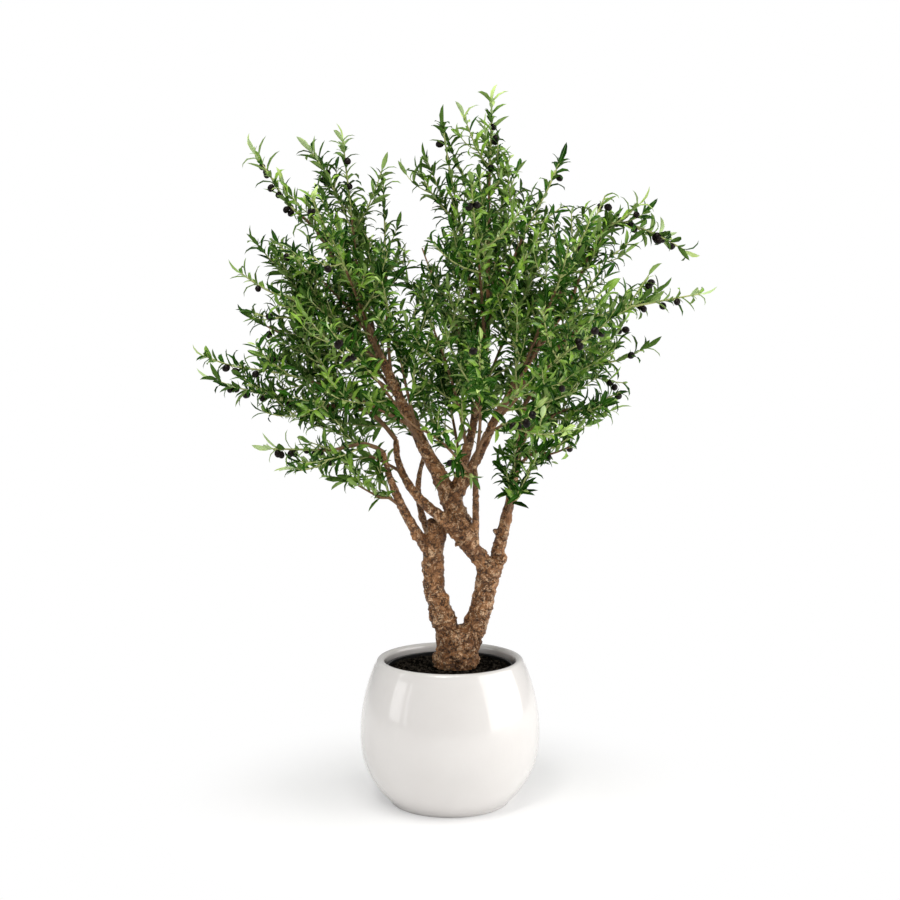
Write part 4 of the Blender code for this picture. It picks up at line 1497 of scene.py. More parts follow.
@dataclass(frozen=True)
class ToneRule:
    """Deals out tones by spray, partly at random: deep inside the crown as painted shade, lighter towards its
    outside and its top.
    """

    heart: tuple = (0.0, 0.0, 1.08)
    half: tuple = (0.56, 0.46, 0.48)
    places: tuple = (
        TonePlace(-0.045, 1.01, 0.06),
        TonePlace(0.333, 1.11, 0.036),
        TonePlace(-0.233, 0.98, 0.04),
        TonePlace(0.355, 1.0, 0.03),
        TonePlace(0.165, 0.76, 0.075, Tone.DEEP),
    )

    def outness(self, spot: Vector) -> float:
        """Tells how far out a place lies: 0 in the heart of the crown, 1 at its outline."""
        return math.sqrt(sum(((spot[i] - self.heart[i]) / self.half[i]) ** 2 for i in range(3)))

    def __call__(self, path: Path, chance: random.Random, fine: bool = False) -> Tone:
        """Picks a spray's tone.

        Args:
            path: the spray's twig.
            chance: the mass's own chance.
            fine: whether it is a fine twig, which alone may be one of the fresh ones in front.

        Returns:
            The tone.
        """
        middle = along(path, 0.6)
        out = self.outness(middle)
        draw = chance.random()
        for place in self.places:
            near = math.hypot(middle.x - place.x, middle.z - place.z) < place.radius
            meant = place.tone == Tone.DEEP or (fine and draw < 0.7)
            if near and meant and middle.y < 0:
                return place.tone
        if draw < (0.05 if fine else 0.01) + 0.02 * out:
            return Tone.FRESH
        # painted shade: the deeper a spray lies in the crown, the likelier it is deep rather than middle
        if draw < 0.12 + 0.46 * out**2:
            return Tone.MIDDLE
        return Tone.DEEP


@dataclass(frozen=True)
class LeafKind:
    """One way in which a leaf blade bends."""

    bend: float  # how far it turns back from root to tip, in degrees
    fold: float  # how steeply its two halves rise from the rib
    twist: float  # how far its tip is turned, in radians
    sickle: float  # how far its tip bends aside, as a share of the length


LEAF_KINDS = (
    LeafKind(38, 0.34, 0.1, 0.03),
    LeafKind(70, 0.28, -0.3, -0.05),
    LeafKind(94, 0.3, 0.3, 0.04),
    LeafKind(16, 0.42, -0.12, 0.02),
    LeafKind(82, 0.22, 0.5, -0.03),
    LeafKind(112, 0.32, -0.2, 0.06),
    LeafKind(54, 0.34, 0.25, -0.04),
    LeafKind(88, 0.24, -0.45, 0.05),
)
STRAIGHT_KINDS = (0, 3, 6)


@dataclass
class LeafBlade:
    """A lance-shaped leaf with a narrow foot, a rib and a paler underside, along +Y and facing +Z."""

    length: float = 0.053
    width: float = 0.013
    curl: float = 1.35  # above 1, most of the bend lies near the tip
    rib: float = 0.0009
    thick: float = 0.0007
    stations: tuple = (0.0, 0.22, 0.52, 0.8)
    widths: tuple = (0.12, 0.78, 1.0, 0.6)
    spine_steps: int = 12
    sharp: float = math.radians(62)

    def ring(self, kind: LeafKind, share: float, width: float) -> Path:
        """Gives the outline of the blade cut across at a place.

        Args:
            kind: how the blade bends.
            share: the place, as a share of the length.
            width: the width there, as a share of the widest.

        Returns:
            Its left edge, the rib's two sides, its right edge and the back of the rib.
        """
        half = self.width * width / 2
        rib = min(self.rib / 2, half * 0.4)
        rise = half * kind.fold
        turn = Matrix.Rotation(-math.radians(kind.bend) * share**self.curl, 3, "X")
        turn @= Matrix.Rotation(kind.twist * share, 3, "Y")
        spots = [(-half, rise), (-rib, 0), (rib, 0), (half, rise), (0, -self.thick)]
        return [self.spine(kind, share) + turn @ Vector((x, 0, z)) for x, z in spots]

    def spine(self, kind: LeafKind, share: float) -> Vector:
        """Gives a point on the middle line of a bent blade.

        Args:
            kind: how the blade bends.
            share: the place, as a share of the length.

        Returns:
            The point.
        """
        steps = self.spine_steps
        angles = [math.radians(kind.bend) * (share * (k + 0.5) / steps) ** self.curl for k in range(steps)]
        ahead = sum(math.cos(angle) for angle in angles) * share / steps
        drop = sum(math.sin(angle) for angle in angles) * share / steps
        return Vector((kind.sickle * share**2, ahead, -drop)) * self.length

    def mesh(self, kind: LeafKind, name: str) -> Mesh:
        """Makes one kind of leaf.

        Args:
            kind: how the blade bends.
            name: the mesh's name.

        Returns:
            The mesh, whose attribute part tells blade, rib and underside apart.
        """
        rings = [self.ring(kind, share, width) for share, width in zip(self.stations, self.widths)]
        points = [point for ring in rings for point in ring] + [self.spine(kind, 1.0)]
        parts = [LeafPart.BLADE, LeafPart.RIB, LeafPart.BLADE, LeafPart.UNDERSIDE, LeafPart.UNDERSIDE]
        faces, marks = [(4, 3, 2, 1, 0)], [LeafPart.UNDERSIDE.value]
        around = len(parts)
        last = (len(rings) - 1) * around
        for low in range(0, last, around):
            for k in range(around):
                n = (k + 1) % around
                faces.append((low + k, low + n, low + around + n, low + around + k))
        faces += [(last + k, last + (k + 1) % around, len(points) - 1) for k in range(around)]
        marks += [part.value for part in parts] * len(rings)
        made = bpy.data.meshes.new(name)
        made.from_pydata(points, [], faces)
        made.attributes.new("part", "INT", "FACE").data.foreach_set("value", marks)
        shape = bmesh.new()
        shape.from_mesh(made)
        bmesh.ops.recalc_face_normals(shape, faces=shape.faces)
        shape.to_mesh(made)
        shape.free()
        made.shade_smooth()
        made.set_sharp_from_angle(angle=self.sharp)
        return made


def scatter_tree(name: str, materials: list[Material]) -> NodeTree:
    """Builds the tree that sets shapes of a collection on points and makes them real.

    Args:
        name: the tree's name.
        materials: the materials of parts 0, 1, 2 and on.

    Returns:
        The tree, whose points carry turn, size and kind.
    """
    inputs = {"Geometry": "Geometry", "Shapes": "Collection", "Size": 1.0}
    wiring, given = start_group(name, "GeometryNodeTree", inputs, {"Geometry": "Geometry"})
    turn = wiring.add("FunctionNodeEulerToRotation", {0: wiring.read("turn", "FLOAT_VECTOR")}).outputs[0]
    size = wiring.arrow("SCALE", wiring.read("size", "FLOAT_VECTOR"), {"Scale": given["Size"]})
    values = {"Instance Index": wiring.read("kind", "INT"), "Rotation": turn, "Scale": size}
    flow = wiring.strew(given["Geometry"], given["Shapes"], values)
    part = wiring.read("part", "INT")
    for number, material in enumerate(materials):
        same = {"A_INT": part, "B_INT": number}
        chosen = wiring.add("FunctionNodeCompare", same, data_type="INT", operation="EQUAL").outputs[0]
        flow = wiring.coat(flow, material, {"Selection": chosen})
    wiring.add("NodeGroupOutput", {"Geometry": flow})
    return wiring.tree


@dataclass
class Spot:
    """Where one copy of a small shape goes."""

    place: Vector
    turn: tuple
    size: tuple
    kind: int


def scatter(name: str, spots: list[Spot], shapes: list[Mesh], materials: list[Material]) -> Mesh:
    """Sets small shapes on their spots and joins them to one mesh.

    Args:
        name: the mesh's name.
        spots: where they go.
        shapes: the kinds of shape.
        materials: the materials of parts 0, 1, 2 and on.

    Returns:
        The joined mesh.
    """
    points = bpy.data.meshes.new(name)
    points.from_pydata([spot.place for spot in spots], [], [])
    for label, values in (("turn", [s.turn for s in spots]), ("size", [s.size for s in spots])):
        attribute = points.attributes.new(label, "FLOAT_VECTOR", "POINT")
        attribute.data.foreach_set("vector", np.array(values, np.float32).ravel())
    points.attributes.new("kind", "INT", "POINT").data.foreach_set("value", [s.kind for s in spots])
    return strewn_mesh(name, points, scatter_tree(f"{name}_scatter", materials), shapes)


def twig_tree(name: str, material: Material) -> NodeTree:
    """Builds the tree that gives curves a round body.

    Args:
        name: the tree's name.
        material: the twigs' material.

    Returns:
        The tree.
    """
    inputs = {"Geometry": "Geometry", "Sides": 5, "Girth": 1.0}
    wiring, given = start_group(name, "GeometryNodeTree", inputs, {"Geometry": "Geometry"})
    circle = {"Resolution": given["Sides"], "Radius": given["Girth"]}
    outline = wiring.add("GeometryNodeCurvePrimitiveCircle", circle)
    girth = wiring.add("GeometryNodeInputRadius").outputs[0]
    values = {"Curve": given["Geometry"], "Profile Curve": outline.outputs[0], "Scale": girth}
    body = wiring.add("GeometryNodeCurveToMesh", {**values, "Fill Caps": True}).outputs[0]
    soft = wiring.add("GeometryNodeSetShadeSmooth", {"Geometry": body}).outputs[0]
    wiring.add("NodeGroupOutput", {"Geometry": wiring.coat(wiring.real(soft), material, {})})
    return wiring.tree


def twig_mesh(name: str, twigs: list[Twig], sides: int, material: Material) -> Mesh:
    """Makes the bodies of some twigs.

    Args:
        name: the mesh's name.
        twigs: the twigs.
        sides: how many sides each has.
        material: their material.

    Returns:
        The mesh.
    """
    data = bpy.data.curves.new(name, "CURVE")
    data.dimensions = "3D"
    for twig in twigs:
        last = len(twig.path) - 1
        line = data.splines.new("POLY")
        line.points.add(last)
        for i, point in enumerate(twig.path):
            line.points[i].co = (*point, 1)
            line.points[i].radius = twig.radius(i / last)
    return grown_mesh(name, data, twig_tree(f"{name}_bodies", material), {"Sides": sides})


OTHER_TONE = {
    Tone.DEEP: Tone.MIDDLE,
    Tone.MIDDLE: Tone.DEEP,
    Tone.FRESH: Tone.MIDDLE,
    Tone.YOUNG: Tone.MIDDLE,
}


@dataclass(frozen=True)
class Spray:
    """A place on a twig where leaves sprout."""

    root: Vector
    way: Vector  # the twig's direction
    lean: float  # how far the leaves stand off it
    size: float
    tone: Tone


@dataclass
class Foliage:
    """The crown's twigs, leaves and olives."""

    skeleton: Skeleton
    effects: Effects
    brown_share: float = 0.55  # how much of a stem is brown
    pair_spacing: float = 0.0152
    sizes: tuple = (1.0, 0.96, 0.86)  # of the leaves on a stem, a shoot and a fine twig
    missing: float = 0.07  # share of leaves that aren't there
    leaflets: float = 0.55  # share of small leaves between pairs that are there
    pale_leaflets: float = 0.6  # share of those that are pale
    outer_from: float = 0.86  # outness from which the tips of sprays are pale
    young_length: float = 0.03  # length of the pale tip of a spray
    lean_old: float = math.radians(43)
    lean_young: float = math.radians(25)
    leaf_lift: float = 0.12  # how much a leaf turns up
    other_tone: float = 0.22  # share of leaves that are deeper or lighter than their spray
    inner_scale: float = 0.76  # of leaves in the heart of the crown
    near_scale: float = 0.65  # how much smaller leaves are per metre in front of the trunk
    most_leaves: int = 4900  # leaves in one piece
    fruit_from: float = 0.72  # outness from which there are olives
    olive_length: float = 0.0172
    olive_width: float = 0.015
    leaves: dict[Tone, list[Spot]] = field(default_factory=lambda: {tone: [] for tone in Tone})
    olives: list[Spot] = field(default_factory=list)
    twigs: list[Twig] = field(default_factory=list)
    placed: int = 0  # leaves so far
    least_pale: float = 0.06  # a shorter end of a stem is brown to its tip
    beyond_last: float = 0.05  # share of a twig that goes on past its last leaf

    def __post_init__(self) -> None:
        """Grows the twigs and learns where the wood is."""
        self.view = OpenView(self.skeleton)
        self.tones = ToneRule()
        grown = Sprays(self.skeleton, self.tones).grow()
        self.twigs = [twig for twig in grown if self.view.keeps(twig)]
        self.wood, self.girths = self.skeleton.wood_tree()

    def in_wood(self, spot: Vector) -> bool:
        """Tells whether a place lies inside a limb."""
        _, nearest, distance = self.wood.find(spot)
        return distance < self.girths[nearest] * 1.05

    def add_leaf(self, root: Vector, out: Vector, face: Vector, size: tuple, tone: Tone, kind: int) -> None:
        """Adds one leaf, unless it would run into the wood.

        Args:
            root: where it sits.
            out: the direction in which it grows.
            face: roughly where its upper side faces.
            size: its scale across, along and through.
            tone: its tone.
            kind: which way it bends.
        """
        reach = LeafBlade.length * size[1]
        if self.in_wood(root + out * reach) or self.in_wood(root + out * (reach * 0.5)):
            return
        if self.view.blocks(root + out * (reach * 0.5)) or self.view.blocks(root + out * (reach * 0.85)):
            return
        face = (face - out * face.dot(out)).normalized()
        turn = Matrix((out.cross(face), out, face)).transposed().to_euler("XYZ")
        self.leaves[tone].append(Spot(root, tuple(turn), size, kind))
        self.placed += 1

    def dress(self, twig: Twig, chance: random.Random) -> None:
        """Sets leaves along a twig in opposite pairs, each turned a quarter from the last.

        Args:
            twig: the twig.
            chance: the foliage's own chance.
        """
        length = path_length(twig.path)
        out = min(1.0, self.tones.outness(along(twig.path, 0.7)))
        scale = self.sizes[twig.order] * (self.inner_scale + (1 - self.inner_scale) * out)
        count = max(1, int((length - twig.bare) / (self.pair_spacing * (0.35 + 0.65 * scale))))
        turn = chance.uniform(0, math.pi)
        outer = self.tones.outness(twig.path[-1]) > self.outer_from
        for i in range(count):
            share = (twig.bare + (i + 0.5) * (length - twig.bare) / count) / length
            youth = max(0.0, 1 - (1 - share) * length / self.young_length)
            pale = youth > 0.1 and outer and twig.tone != Tone.DEEP
            spray = Spray(
                along(twig.path, share), way_at(twig.path, share),
                between((self.lean_old, self.lean_young), youth), scale * (1 - 0.12 * youth),
                Tone.YOUNG if pale else twig.tone,
            )
            before = self.placed
            for half in (0, math.pi):
                if chance.random() > self.missing:
                    self.add_pair_leaf(spray, turn + half, chance)
            if self.placed > before:
                twig.needed = share * length
            if twig.order < 2 and share > 0.4:
                self.add_leaflets(spray, turn + math.pi / 2, chance)
            turn += math.pi / 2 + chance.uniform(-0.3, 0.3)
        before = self.placed
        self.end_leaf(twig, outer, chance)
        if self.placed > before:
            twig.needed = length

    def add_pair_leaf(self, spray: Spray, turn: float, chance: random.Random) -> None:
        """Adds one leaf of a pair.

        Args:
            spray: the place of the pair.
            turn: on which side of the twig the leaf sits.
            chance: the foliage's own chance.
        """
        tilt = spray.lean * chance.uniform(0.75, 1.25)
        side = turned_side(spray.way, turn + chance.uniform(-0.2, 0.2))
        out = (tilted(spray.way, side, tilt) + UP * self.leaf_lift).normalized()
        face = spray.way + side.cross(spray.way) * chance.uniform(-0.4, 0.4) + UP * 0.25
        long = spray.size * chance.uniform(0.78, 1.12) * (1 + self.near_scale * min(0.0, spray.root.y))
        wide = long * chance.uniform(0.82, 1.1)
        kind = chance.randrange(len(LEAF_KINDS))
        tone = OTHER_TONE[spray.tone] if chance.random() < self.other_tone else spray.tone
        self.add_leaf(spray.root, out, face, (wide, long, long), tone, kind)

    def add_leaflets(self, spray: Spray, turn: float, chance: random.Random) -> None:
        """Adds the small upright leaves that sprout between a pair.

        Args:
            spray: the place of the pair.
            turn: on which side of the twig the first sits.
            chance: the foliage's own chance.
        """
        for half in (0, math.pi):
            if chance.random() > self.leaflets:
                continue
            side = turned_side(spray.way, turn + half)
            out = (spray.way + side * chance.uniform(0.3, 0.8)).normalized()
            long = chance.uniform(0.26, 0.46)
            kind = chance.choice(STRAIGHT_KINDS)
            tone = Tone.YOUNG if chance.random() < self.pale_leaflets else spray.tone
            self.add_leaf(spray.root, out, spray.way - side, (long * 1.3, long, long), tone, kind)

    def end_leaf(self, twig: Twig, outer: bool, chance: random.Random) -> None:
        """Ends a twig in one narrow leaf.

        Args:
            twig: the twig.
            outer: whether it ends at the crown's outline.
            chance: the foliage's own chance.
        """
        way = directions(twig.path)[-1]
        face = turned_side(way, chance.uniform(0, 2 * math.pi))
        long = chance.uniform(0.75, 1.0) * self.sizes[twig.order]
        pale = outer and (twig.tone != Tone.DEEP or chance.random() < 0.5)
        tone = Tone.YOUNG if pale else twig.tone
        kind = chance.choice(STRAIGHT_KINDS)
        self.add_leaf(twig.path[-1], way, face, (long * 1.05, long, long), tone, kind)

    def hang_olives(self) -> None:
        """Hangs olives by the outer part of the sprays, close to the twig, alone or in pairs."""
        chance = random.Random("olives")
        masses = iter(MASSES)
        mass = MASSES[0]
        for twig in self.twigs:
            if twig.order == 0:
                mass = next(masses)
            if twig.order == 2 or mass.fruit == 0:
                continue
            wanted = 2.4 * mass.fruit + 1.0 if twig.order == 0 else 0.42 * mass.fruit
            count = int(wanted) + (chance.random() < wanted % 1)
            for k in range(count):
                share = 0.97 - (k + chance.uniform(0.3, 0.8)) * 0.42 / count
                spot = along(twig.path, share)
                inside = self.tones.outness(spot) < self.fruit_from
                if inside or self.view.blocks(spot) or self.in_wood(spot):
                    continue
                leans = (chance.uniform(-1.5, 1.5), chance.uniform(-1.5, 1.5))
                for lean in leans[: chance.choice((1, 1, 2))]:
                    turn = (lean, chance.uniform(-0.9, 0.9), chance.uniform(0, 2 * math.pi))
                    size = chance.uniform(0.9, 1.12)
                    self.olives.append(Spot(spot, turn, (size, size, size), chance.randrange(2)))

    def olive_mesh(self, reach: float) -> Mesh:
        """Makes an olive that hangs from its stalk, below the origin.

        Args:
            reach: the length of the stalk.

        Returns:
            The mesh, whose attribute part tells fruit and stalk apart.
        """
        shape = bmesh.new()
        part = shape.faces.layers.int.new("part")
        bmesh.ops.create_uvsphere(shape, u_segments=12, v_segments=8, radius=0.5)
        for vert in shape.verts:
            fall = vert.co.z
            pinch = 1 - 0.1 * max(0.0, -fall * 2) ** 2
            vert.co = Vector(
                (
                    vert.co.x * self.olive_width * pinch + 0.0025, vert.co.y * self.olive_width * pinch,
                    fall * self.olive_length - reach - self.olive_length / 2,
                )
            )
        before = set(shape.faces)
        bmesh.ops.create_cone(
            shape, cap_ends=True, segments=6, radius1=0.0008, radius2=0.0007, depth=reach + 0.0015,
            matrix=Matrix.Translation((0.0012, 0, -reach / 2 - 0.0005)),
        )
        for face in shape.faces:
            face[part] = 0 if face in before else 1
            face.smooth = True
        return mesh_of("olive", shape)

    def brown_until(self, stem: Twig) -> float:
        """Gives the share of a stem that is brown: its inner half, and as far as it is bare.

        Args:
            stem: the stem.

        Returns:
            The share.
        """
        last = len(stem.path) - 1
        bare = [i / last for i, point in enumerate(stem.path) if self.view.blocks(point)]
        return min(max([self.brown_share, *bare]), 1 - 3 / last)

    def build_twigs(self) -> None:
        """Builds the brown branchlets and the pale shoots."""
        stems, shoots = [], []
        for twig in reversed(self.twigs):
            if twig.needed == 0:
                continue
            if twig.parent:
                twig.parent.needed = max(twig.parent.needed, twig.rooted)
            length = path_length(twig.path)
            short = twig.inner(min(1.0, twig.needed / length + self.beyond_last))
            if twig.order > 0:
                shoots.append(short)
                continue
            kept = path_length(short.path)
            share = self.brown_until(twig) * length / kept
            if (1 - share) * kept > self.least_pale:
                shoots.append(short.outer(share))
                short = short.inner(share)
            stems.append(short)
        brown = twig_mesh("branchlets", stems, 8, BRANCHLET.material(self.effects))
        add_piece("branchlets", brown, MASS_NAMES)
        pale = twig_mesh("shoots", shoots, 5, SHOOT.material(self.effects))
        add_piece("shoots", pale, MASS_NAMES)

    def build_leaves(self) -> None:
        """Builds the leaves, each tone apart."""
        blade = LeafBlade()
        kinds = [blade.mesh(kind, f"leaf_{i}") for i, kind in enumerate(LEAF_KINDS)]
        for tone, spots in self.leaves.items():
            materials = [finish.material(self.effects) for finish in leaf_finishes(tone)]
            parts = max(1, math.ceil(len(spots) / self.most_leaves))
            for number in range(parts):
                label = f"{tone.value}_leaves" + (f"_{number + 1}" if parts > 1 else "")
                mesh = scatter(label, spots[number::parts], kinds, materials)
                add_piece(label, mesh, MASS_NAMES)

    def build_olives(self) -> None:
        """Builds the olives with their stalks."""
        self.hang_olives()
        materials = [OLIVE.material(self.effects), SHOOT.material(self.effects)]
        kinds = [self.olive_mesh(0.003), self.olive_mesh(0.006)]
        mesh = scatter("olives", self.olives, kinds, materials)
        fruitful = [mass.name for mass in MASSES if mass.fruit]
        add_piece("olives", mesh, fruitful)

    def build(self) -> None:
        """Builds all of the foliage."""
        chance = random.Random("leaves")
        for twig in self.twigs:
            self.dress(twig, chance)
        self.build_twigs()
        self.build_leaves()
        self.build_olives()


# Planter, nursery pot and soil


def arc(across: float, up: float, radius: float, angles: range) -> list[tuple[float, float]]:
    """Gives points on a circle about (across, up), at some angles in degrees."""
    turns = [math.radians(a) for a in angles]
    return [(across + radius * math.cos(a), up + radius * math.sin(a)) for a in turns]


@dataclass
class Planter:
    """The round glazed planter."""

    effects: Effects
    radius: float = 0.203
    height: float = 0.327
    belly: float = 0.16
    foot: float = 0.1324
    roundness: float = 2.45
    shoulder_drop: float = 0.0387
    lip: float = 0.0095
    opening: float = 0.1475
    wall: float = 0.014
    floor: float = 0.018
    edge: float = 0.004  # rounding of the foot's edge
    neck: float = 0.006  # depth below the lip down to which the opening is straight
    inside: tuple = (  # heights, and how far the inside follows the outside there
        (0.3, 0.25), (0.28, 0.6), (0.25, 1.0), (0.2, 1.0), (0.15, 1.0), (0.1, 1.0), (0.07, 1.0),
    )
    sides: int = 144
    courses: int = 44

    def outer_radius(self, height: float) -> float:
        """Gives the outer radius at a height.

        Args:
            height: the height above the underside.

        Returns:
            The radius: a full belly on a narrower foot, drawn in to the lip.
        """
        if height < self.belly:
            share = 1 - height / self.belly
            return self.radius - (self.radius - self.foot) * share**self.roundness
        share = (height - self.belly) / (self.height - self.belly)
        return self.radius - self.shoulder_drop * share**2

    def profile(self) -> list[tuple[float, float]]:
        """Gives the outline from the underside's middle, up the outside, over the lip and down inside.

        Returns:
            Its (radius, height) points.
        """
        lip_height = self.height - self.lip
        points = [(0, 0), (self.foot - 2 * self.edge, 0)]
        points += arc(self.outer_radius(self.edge) - self.edge, self.edge, self.edge, range(-90, 1, 30))
        for i in range(1, self.courses):
            z = self.edge + (lip_height - self.edge) * i / self.courses
            points.append((self.outer_radius(z), z))
        points += arc(self.opening + self.lip, lip_height, self.lip, range(10, 181, 14))
        for z, share in ((lip_height - self.neck, 0.0), *self.inside):
            points.append((self.opening * (1 - share) + (self.outer_radius(z) - self.wall) * share, z))
        return points + [(self.foot - self.wall, self.floor), (0, self.floor)]

    def build(self) -> None:
        """Builds the planter."""
        mesh = turned_mesh("glazed_planter", self.profile(), self.sides)
        add_piece("glazed_planter", mesh, ["planter"], GLAZE.material(self.effects))


@dataclass
class NurseryPot:
    """The thin black pot that stands in the planter and holds the soil."""

    effects: Effects
    top: float = 0.3095
    top_radius: float = 0.144
    foot: float = 0.0183
    foot_radius: float = 0.112
    wall: float = 0.0028
    bead: float = 0.0024
    edge: float = 0.004  # depth below the top at which the inside starts
    courses: tuple = (0.1, 0.2)
    sides: int = 96

    def build(self) -> None:
        """Builds the pot with its beaded rim."""
        slope = (self.top_radius - self.foot_radius) / (self.top - self.foot)
        under = self.top - 2 * self.bead
        centre = self.top_radius - self.bead
        points = [(0, self.foot), (self.foot_radius, self.foot)]
        points += [(self.foot_radius + slope * (z - self.foot), z) for z in self.courses]
        points += [(centre, under), *arc(centre, under + self.bead, self.bead, range(-60, 181, 30))]
        inner = self.foot_radius - self.wall
        inside = (self.top - self.edge, *reversed(self.courses))
        points += [(inner + slope * (z - self.foot), z) for z in inside]
        points += [(inner, self.foot + self.wall), (0, self.foot + self.wall)]
        mesh = turned_mesh("nursery_pot_shell", points, self.sides)
        add_piece("nursery_pot_shell", mesh, ["nursery_pot"], PLASTIC.material(self.effects))


@dataclass
class Soil:
    """The potting soil: an uneven bed with crumbs on it."""

    effects: Effects
    top: float = 0.301
    radius: float = 0.1375
    depth: float = 0.03
    unevenness: float = 0.0034
    rings: int = 40
    sides: int = 110
    crumbs_per_area: float = 38000.0
    crumb_size: tuple = (0.001, 0.005)
    crumb_skew: float = 3.0  # above 1, most crumbs are small
    kinds: int = 5  # kinds of crumb
    seed: int = 7
    draw_in: float = 0.004  # how much narrower the bed is at its underside

    def height(self, x: float, y: float) -> float:
        """Gives the height of the bed at a place.

        Args:
            x: the place across.
            y: the place front to back.

        Returns:
            The height.
        """
        spot = Vector((x, y, 0))
        waves = noise.noise(spot * 22) + 0.6 * noise.noise(spot * 60) + 0.35 * noise.noise(spot * 150)
        mound = 0.0035 * math.exp(-(((x - 0.013) ** 2 + y**2) / 0.0042))
        return self.top + self.unevenness * waves + mound

    def bed(self) -> Mesh:
        """Makes the bed, closed below.

        Returns:
            The mesh.
        """
        points, faces = [Vector((0, 0, self.height(0, 0)))], []
        for ring in range(1, self.rings + 1):
            reach = self.radius * ring / self.rings
            for k in range(self.sides):
                t = 2 * math.pi * k / self.sides
                x, y = reach * math.cos(t), reach * math.sin(t)
                points.append(Vector((x, y, self.height(x, y))))
        for k in range(self.sides):
            n = (k + 1) % self.sides
            faces.append((0, 1 + k, 1 + n))
            for ring in range(self.rings - 1):
                low, high = 1 + ring * self.sides, 1 + (ring + 1) * self.sides
                faces.append((low + k, high + k, high + n, low + n))
        outer = 1 + (self.rings - 1) * self.sides
        base = len(points)
        for k in range(self.sides):
            t = 2 * math.pi * k / self.sides
            shrink = self.radius - self.draw_in
            points.append(Vector((shrink * math.cos(t), shrink * math.sin(t), self.top - self.depth)))
        for k in range(self.sides):
            n = (k + 1) % self.sides
            faces.append((outer + k, base + k, base + n, outer + n))
        faces.append(tuple(base + k for k in reversed(range(self.sides))))
        mesh = bpy.data.meshes.new("soil_bed")
        mesh.from_pydata(points, [], faces)
        mesh.shade_smooth()
        return mesh

    def crumb_kinds(self) -> list[Mesh]:
        """Makes the kinds of crumb.

        Returns:
            Their meshes, one unit in radius.
        """
        found = []
        for number in range(self.kinds):
            shape = bmesh.new()
            bmesh.ops.create_icosphere(shape, subdivisions=1, radius=1)
            for vert in shape.verts:
                vert.co *= 1 + 0.45 * noise.noise(vert.co * 1.7 + Vector((number * 7.3, 0, 0)))
                vert.co.z *= 0.72
            found.append(mesh_of(f"crumb_{number}", shape))
        return found

    def crumb_tree(self, material: Material) -> NodeTree:
        """Builds the tree that strews crumbs over the bed.

        Args:
            material: the crumbs' material.

        Returns:
            The tree.
        """
        inputs = {
            "Geometry": "Geometry", "Shapes": "Collection", "Density": self.crumbs_per_area,
            "Smallest": self.crumb_size[0], "Largest": self.crumb_size[1], "Seed": self.seed,
        }
        wiring, given = start_group("soil_crumbs", "GeometryNodeTree", inputs, {"Geometry": "Geometry"})
        seed = {"Seed": given["Seed"]}
        normal = wiring.add("GeometryNodeInputNormal").outputs[0]
        rise = wiring.add("ShaderNodeSeparateXYZ", {0: normal}).outputs["Z"]
        upper = wiring.add("FunctionNodeCompare", {"A": rise, "B": 0.5}, operation="GREATER_THAN").outputs[0]
        values = {"Mesh": given["Geometry"], "Selection": upper, "Density": given["Density"], **seed}
        points = wiring.add("GeometryNodeDistributePointsOnFaces", values).outputs["Points"]
        drawn = wiring.add("FunctionNodeRandomValue", seed, data_type="FLOAT").outputs[1]
        skewed = wiring.number("POWER", drawn, self.crumb_skew)
        size = wiring.remap(skewed, 0.0, 1.0, given["Smallest"], given["Largest"])
        ends = {"Min": (0.0, 0.0, 0.0), "Max": (6.28, 6.28, 6.28), **seed}
        spin = wiring.add("FunctionNodeRandomValue", ends, data_type="FLOAT_VECTOR").outputs[0]
        turned = wiring.add("FunctionNodeEulerToRotation", {0: spin}).outputs[0]
        real = wiring.strew(points, given["Shapes"], {"Rotation": turned, "Scale": size})
        wiring.add("NodeGroupOutput", {"Geometry": wiring.coat(real, material, {})})
        return wiring.tree

    def crumbs(self, bed: Mesh) -> Mesh:
        """Strews crumbs over a copy of the bed, and joins them."""
        tree = self.crumb_tree(CRUMB.material(self.effects))
        return strewn_mesh("soil_crumbs", bed.copy(), tree, self.crumb_kinds())

    def build(self) -> None:
        """Builds the bed and its crumbs."""
        bed = self.bed()
        crumbs = self.crumbs(bed)
        add_piece("soil_bed", bed, ["soil"], SOIL.material(self.effects))
        add_piece("soil_crumbs", crumbs, ["soil"])


# Studio


@dataclass(frozen=True)
class Softbox:
    """One soft studio light."""

    name: str
    place: tuple
    aim: tuple
    width: float
    height: float
    power: float
    colour: Colour = (1.0, 1.0, 1.0)


SOFTBOXES = (
    Softbox("window", (3.05, -0.55, 1.45), (0, 0.25, 0.75), 3.6, 2.9, 84.0, (1.0, 0.985, 0.965)),
    Softbox("left_strip", (-3.3, -0.9, 1.0), (0, 0, 0.5), 1.1, 1.5, 9.0),
    Softbox("left_slit", (-2.9, -1.8, 1.0), (0, 0, 0.5), 0.22, 1.6, 1.5),
    Softbox("overhead", (-0.2, -0.9, 4.2), (0, 0, 0.9), 2.6, 2.6, 101.0, (1.0, 0.99, 0.97)),
    Softbox("key", (-0.9, -2.7, 3.7), (0, 0, 0.9), 0.9, 0.9, 34.0, (1.0, 0.985, 0.96)),
)


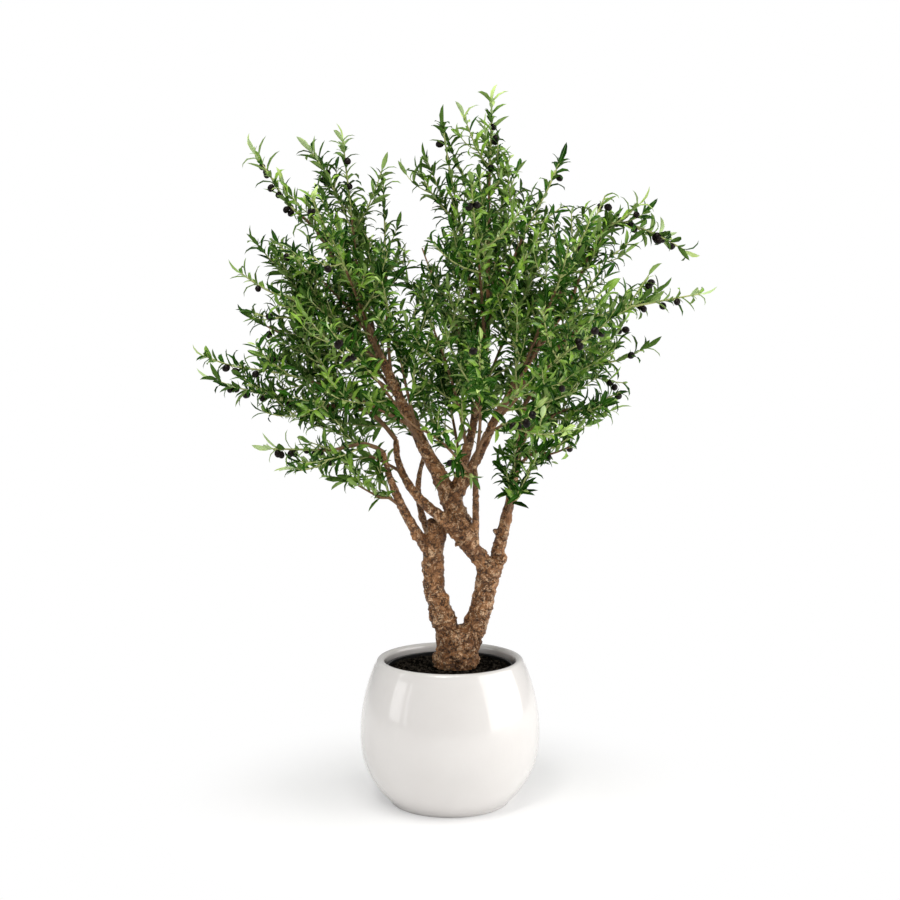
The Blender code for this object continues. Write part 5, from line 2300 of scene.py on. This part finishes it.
@dataclass
class Studio:
    """The camera, the soft lights, a white surround and a plain white floor that fades into it."""

    pitch: float = math.radians(-5.7)
    lens: float = 61.8
    sensor: float = 36.0
    floor_half: float = 30.0
    floor_drop: float = 0.0004
    floor_white: float = 0.94
    least_fade: float = 0.3
    fade_from: float = 0.24  # distance from the middle where the floor starts to fade
    fade_to: float = 0.7
    dome: float = 0.43  # light of the surround, which itself looks white

    def add_camera(self) -> None:
        """Adds the camera."""
        data = bpy.data.cameras.new("camera")
        data.lens = self.lens
        data.sensor_width = self.sensor
        camera = link("camera", data)
        camera.location = EYE
        camera.rotation_euler = (math.radians(90) + self.pitch, 0, 0)
        bpy.context.scene.camera = camera

    def add_light(self, box: Softbox) -> None:
        """Adds one soft light.

        Args:
            box: its place and sizes.
        """
        data = bpy.data.lights.new(box.name, "AREA")
        data.shape = "RECTANGLE"
        data.size, data.size_y = box.width, box.height
        data.energy = box.power
        data.color = box.colour
        light = link(box.name, data)
        light.location = box.place
        light.rotation_euler = (Vector(box.aim) - Vector(box.place)).to_track_quat("-Z", "Y").to_euler()

    def floor_material(self) -> Material:
        """Makes the floor's white, which the eye sees fade into the surround further out.

        Returns:
            The material.
        """
        material = bpy.data.materials.new("white_floor")
        material.use_nodes = True
        wiring = Wiring(material.node_tree)
        shader = material.node_tree.nodes["Principled BSDF"]
        shader.inputs["Base Color"].default_value = (self.floor_white,) * 3 + (1,)
        shader.inputs["Roughness"].default_value = 0.9
        shader.inputs["Specular IOR Level"].default_value = 0.1
        away = wiring.add("ShaderNodeVectorMath", {0: wiring.place()}, operation="LENGTH").outputs["Value"]
        ends = (self.fade_from, self.fade_to, self.least_fade)
        fade = wiring.remap(away, *ends, interpolation_type="SMOOTHSTEP")
        share = wiring.number("MULTIPLY", fade, wiring.add("ShaderNodeLightPath").outputs["Is Camera Ray"])
        glow = wiring.add("ShaderNodeEmission", {"Color": (1, 1, 1, 1), "Strength": 1.0}).outputs[0]
        mix = wiring.add("ShaderNodeMixShader", {0: share, 1: shader.outputs[0], 2: glow})
        wiring.tree.links.new(mix.outputs[0], material.node_tree.nodes["Material Output"].inputs["Surface"])
        return material

    def add_surround(self) -> None:
        """Adds the surround: white to the eye, and softer as a light."""
        world = bpy.data.worlds.new("studio")
        world.use_nodes = True
        wiring = Wiring(world.node_tree)
        seen = wiring.add("ShaderNodeLightPath").outputs["Is Camera Ray"]
        strength = wiring.remap(seen, 0.0, 1.0, self.dome, 1.0)
        background = world.node_tree.nodes["Background"]
        background.inputs["Color"].default_value = (1, 1, 1, 1)
        wiring.tree.links.new(strength, background.inputs["Strength"])
        bpy.context.scene.world = world

    def add_floor(self) -> None:
        """Adds the plain white floor."""
        h, z = self.floor_half, -self.floor_drop
        mesh = bpy.data.meshes.new("floor")
        mesh.from_pydata([(-h, -h, z), (h, -h, z), (h, h, z), (-h, h, z)], [], [(0, 1, 2, 3)])
        mesh.materials.append(self.floor_material())
        link("floor", mesh)

    def build(self) -> None:
        """Builds the studio."""
        self.add_camera()
        for box in SOFTBOXES:
            self.add_light(box)
        self.add_floor()
        self.add_surround()
        bpy.context.scene.view_settings.view_transform = "Standard"


def main() -> None:
    """Builds the object's pieces in order, and its studio."""
    logging.basicConfig(level=logging.INFO, format="%(message)s")
    noise.seed_set(NOISE_SEED)
    effects = Effects()
    skeleton = Skeleton()
    Studio().build()
    Planter(effects).build()
    NurseryPot(effects).build()
    Soil(effects).build()
    Wood(skeleton, effects).build()
    Foliage(skeleton, effects).build()


if __name__ == "__main__":
    main()
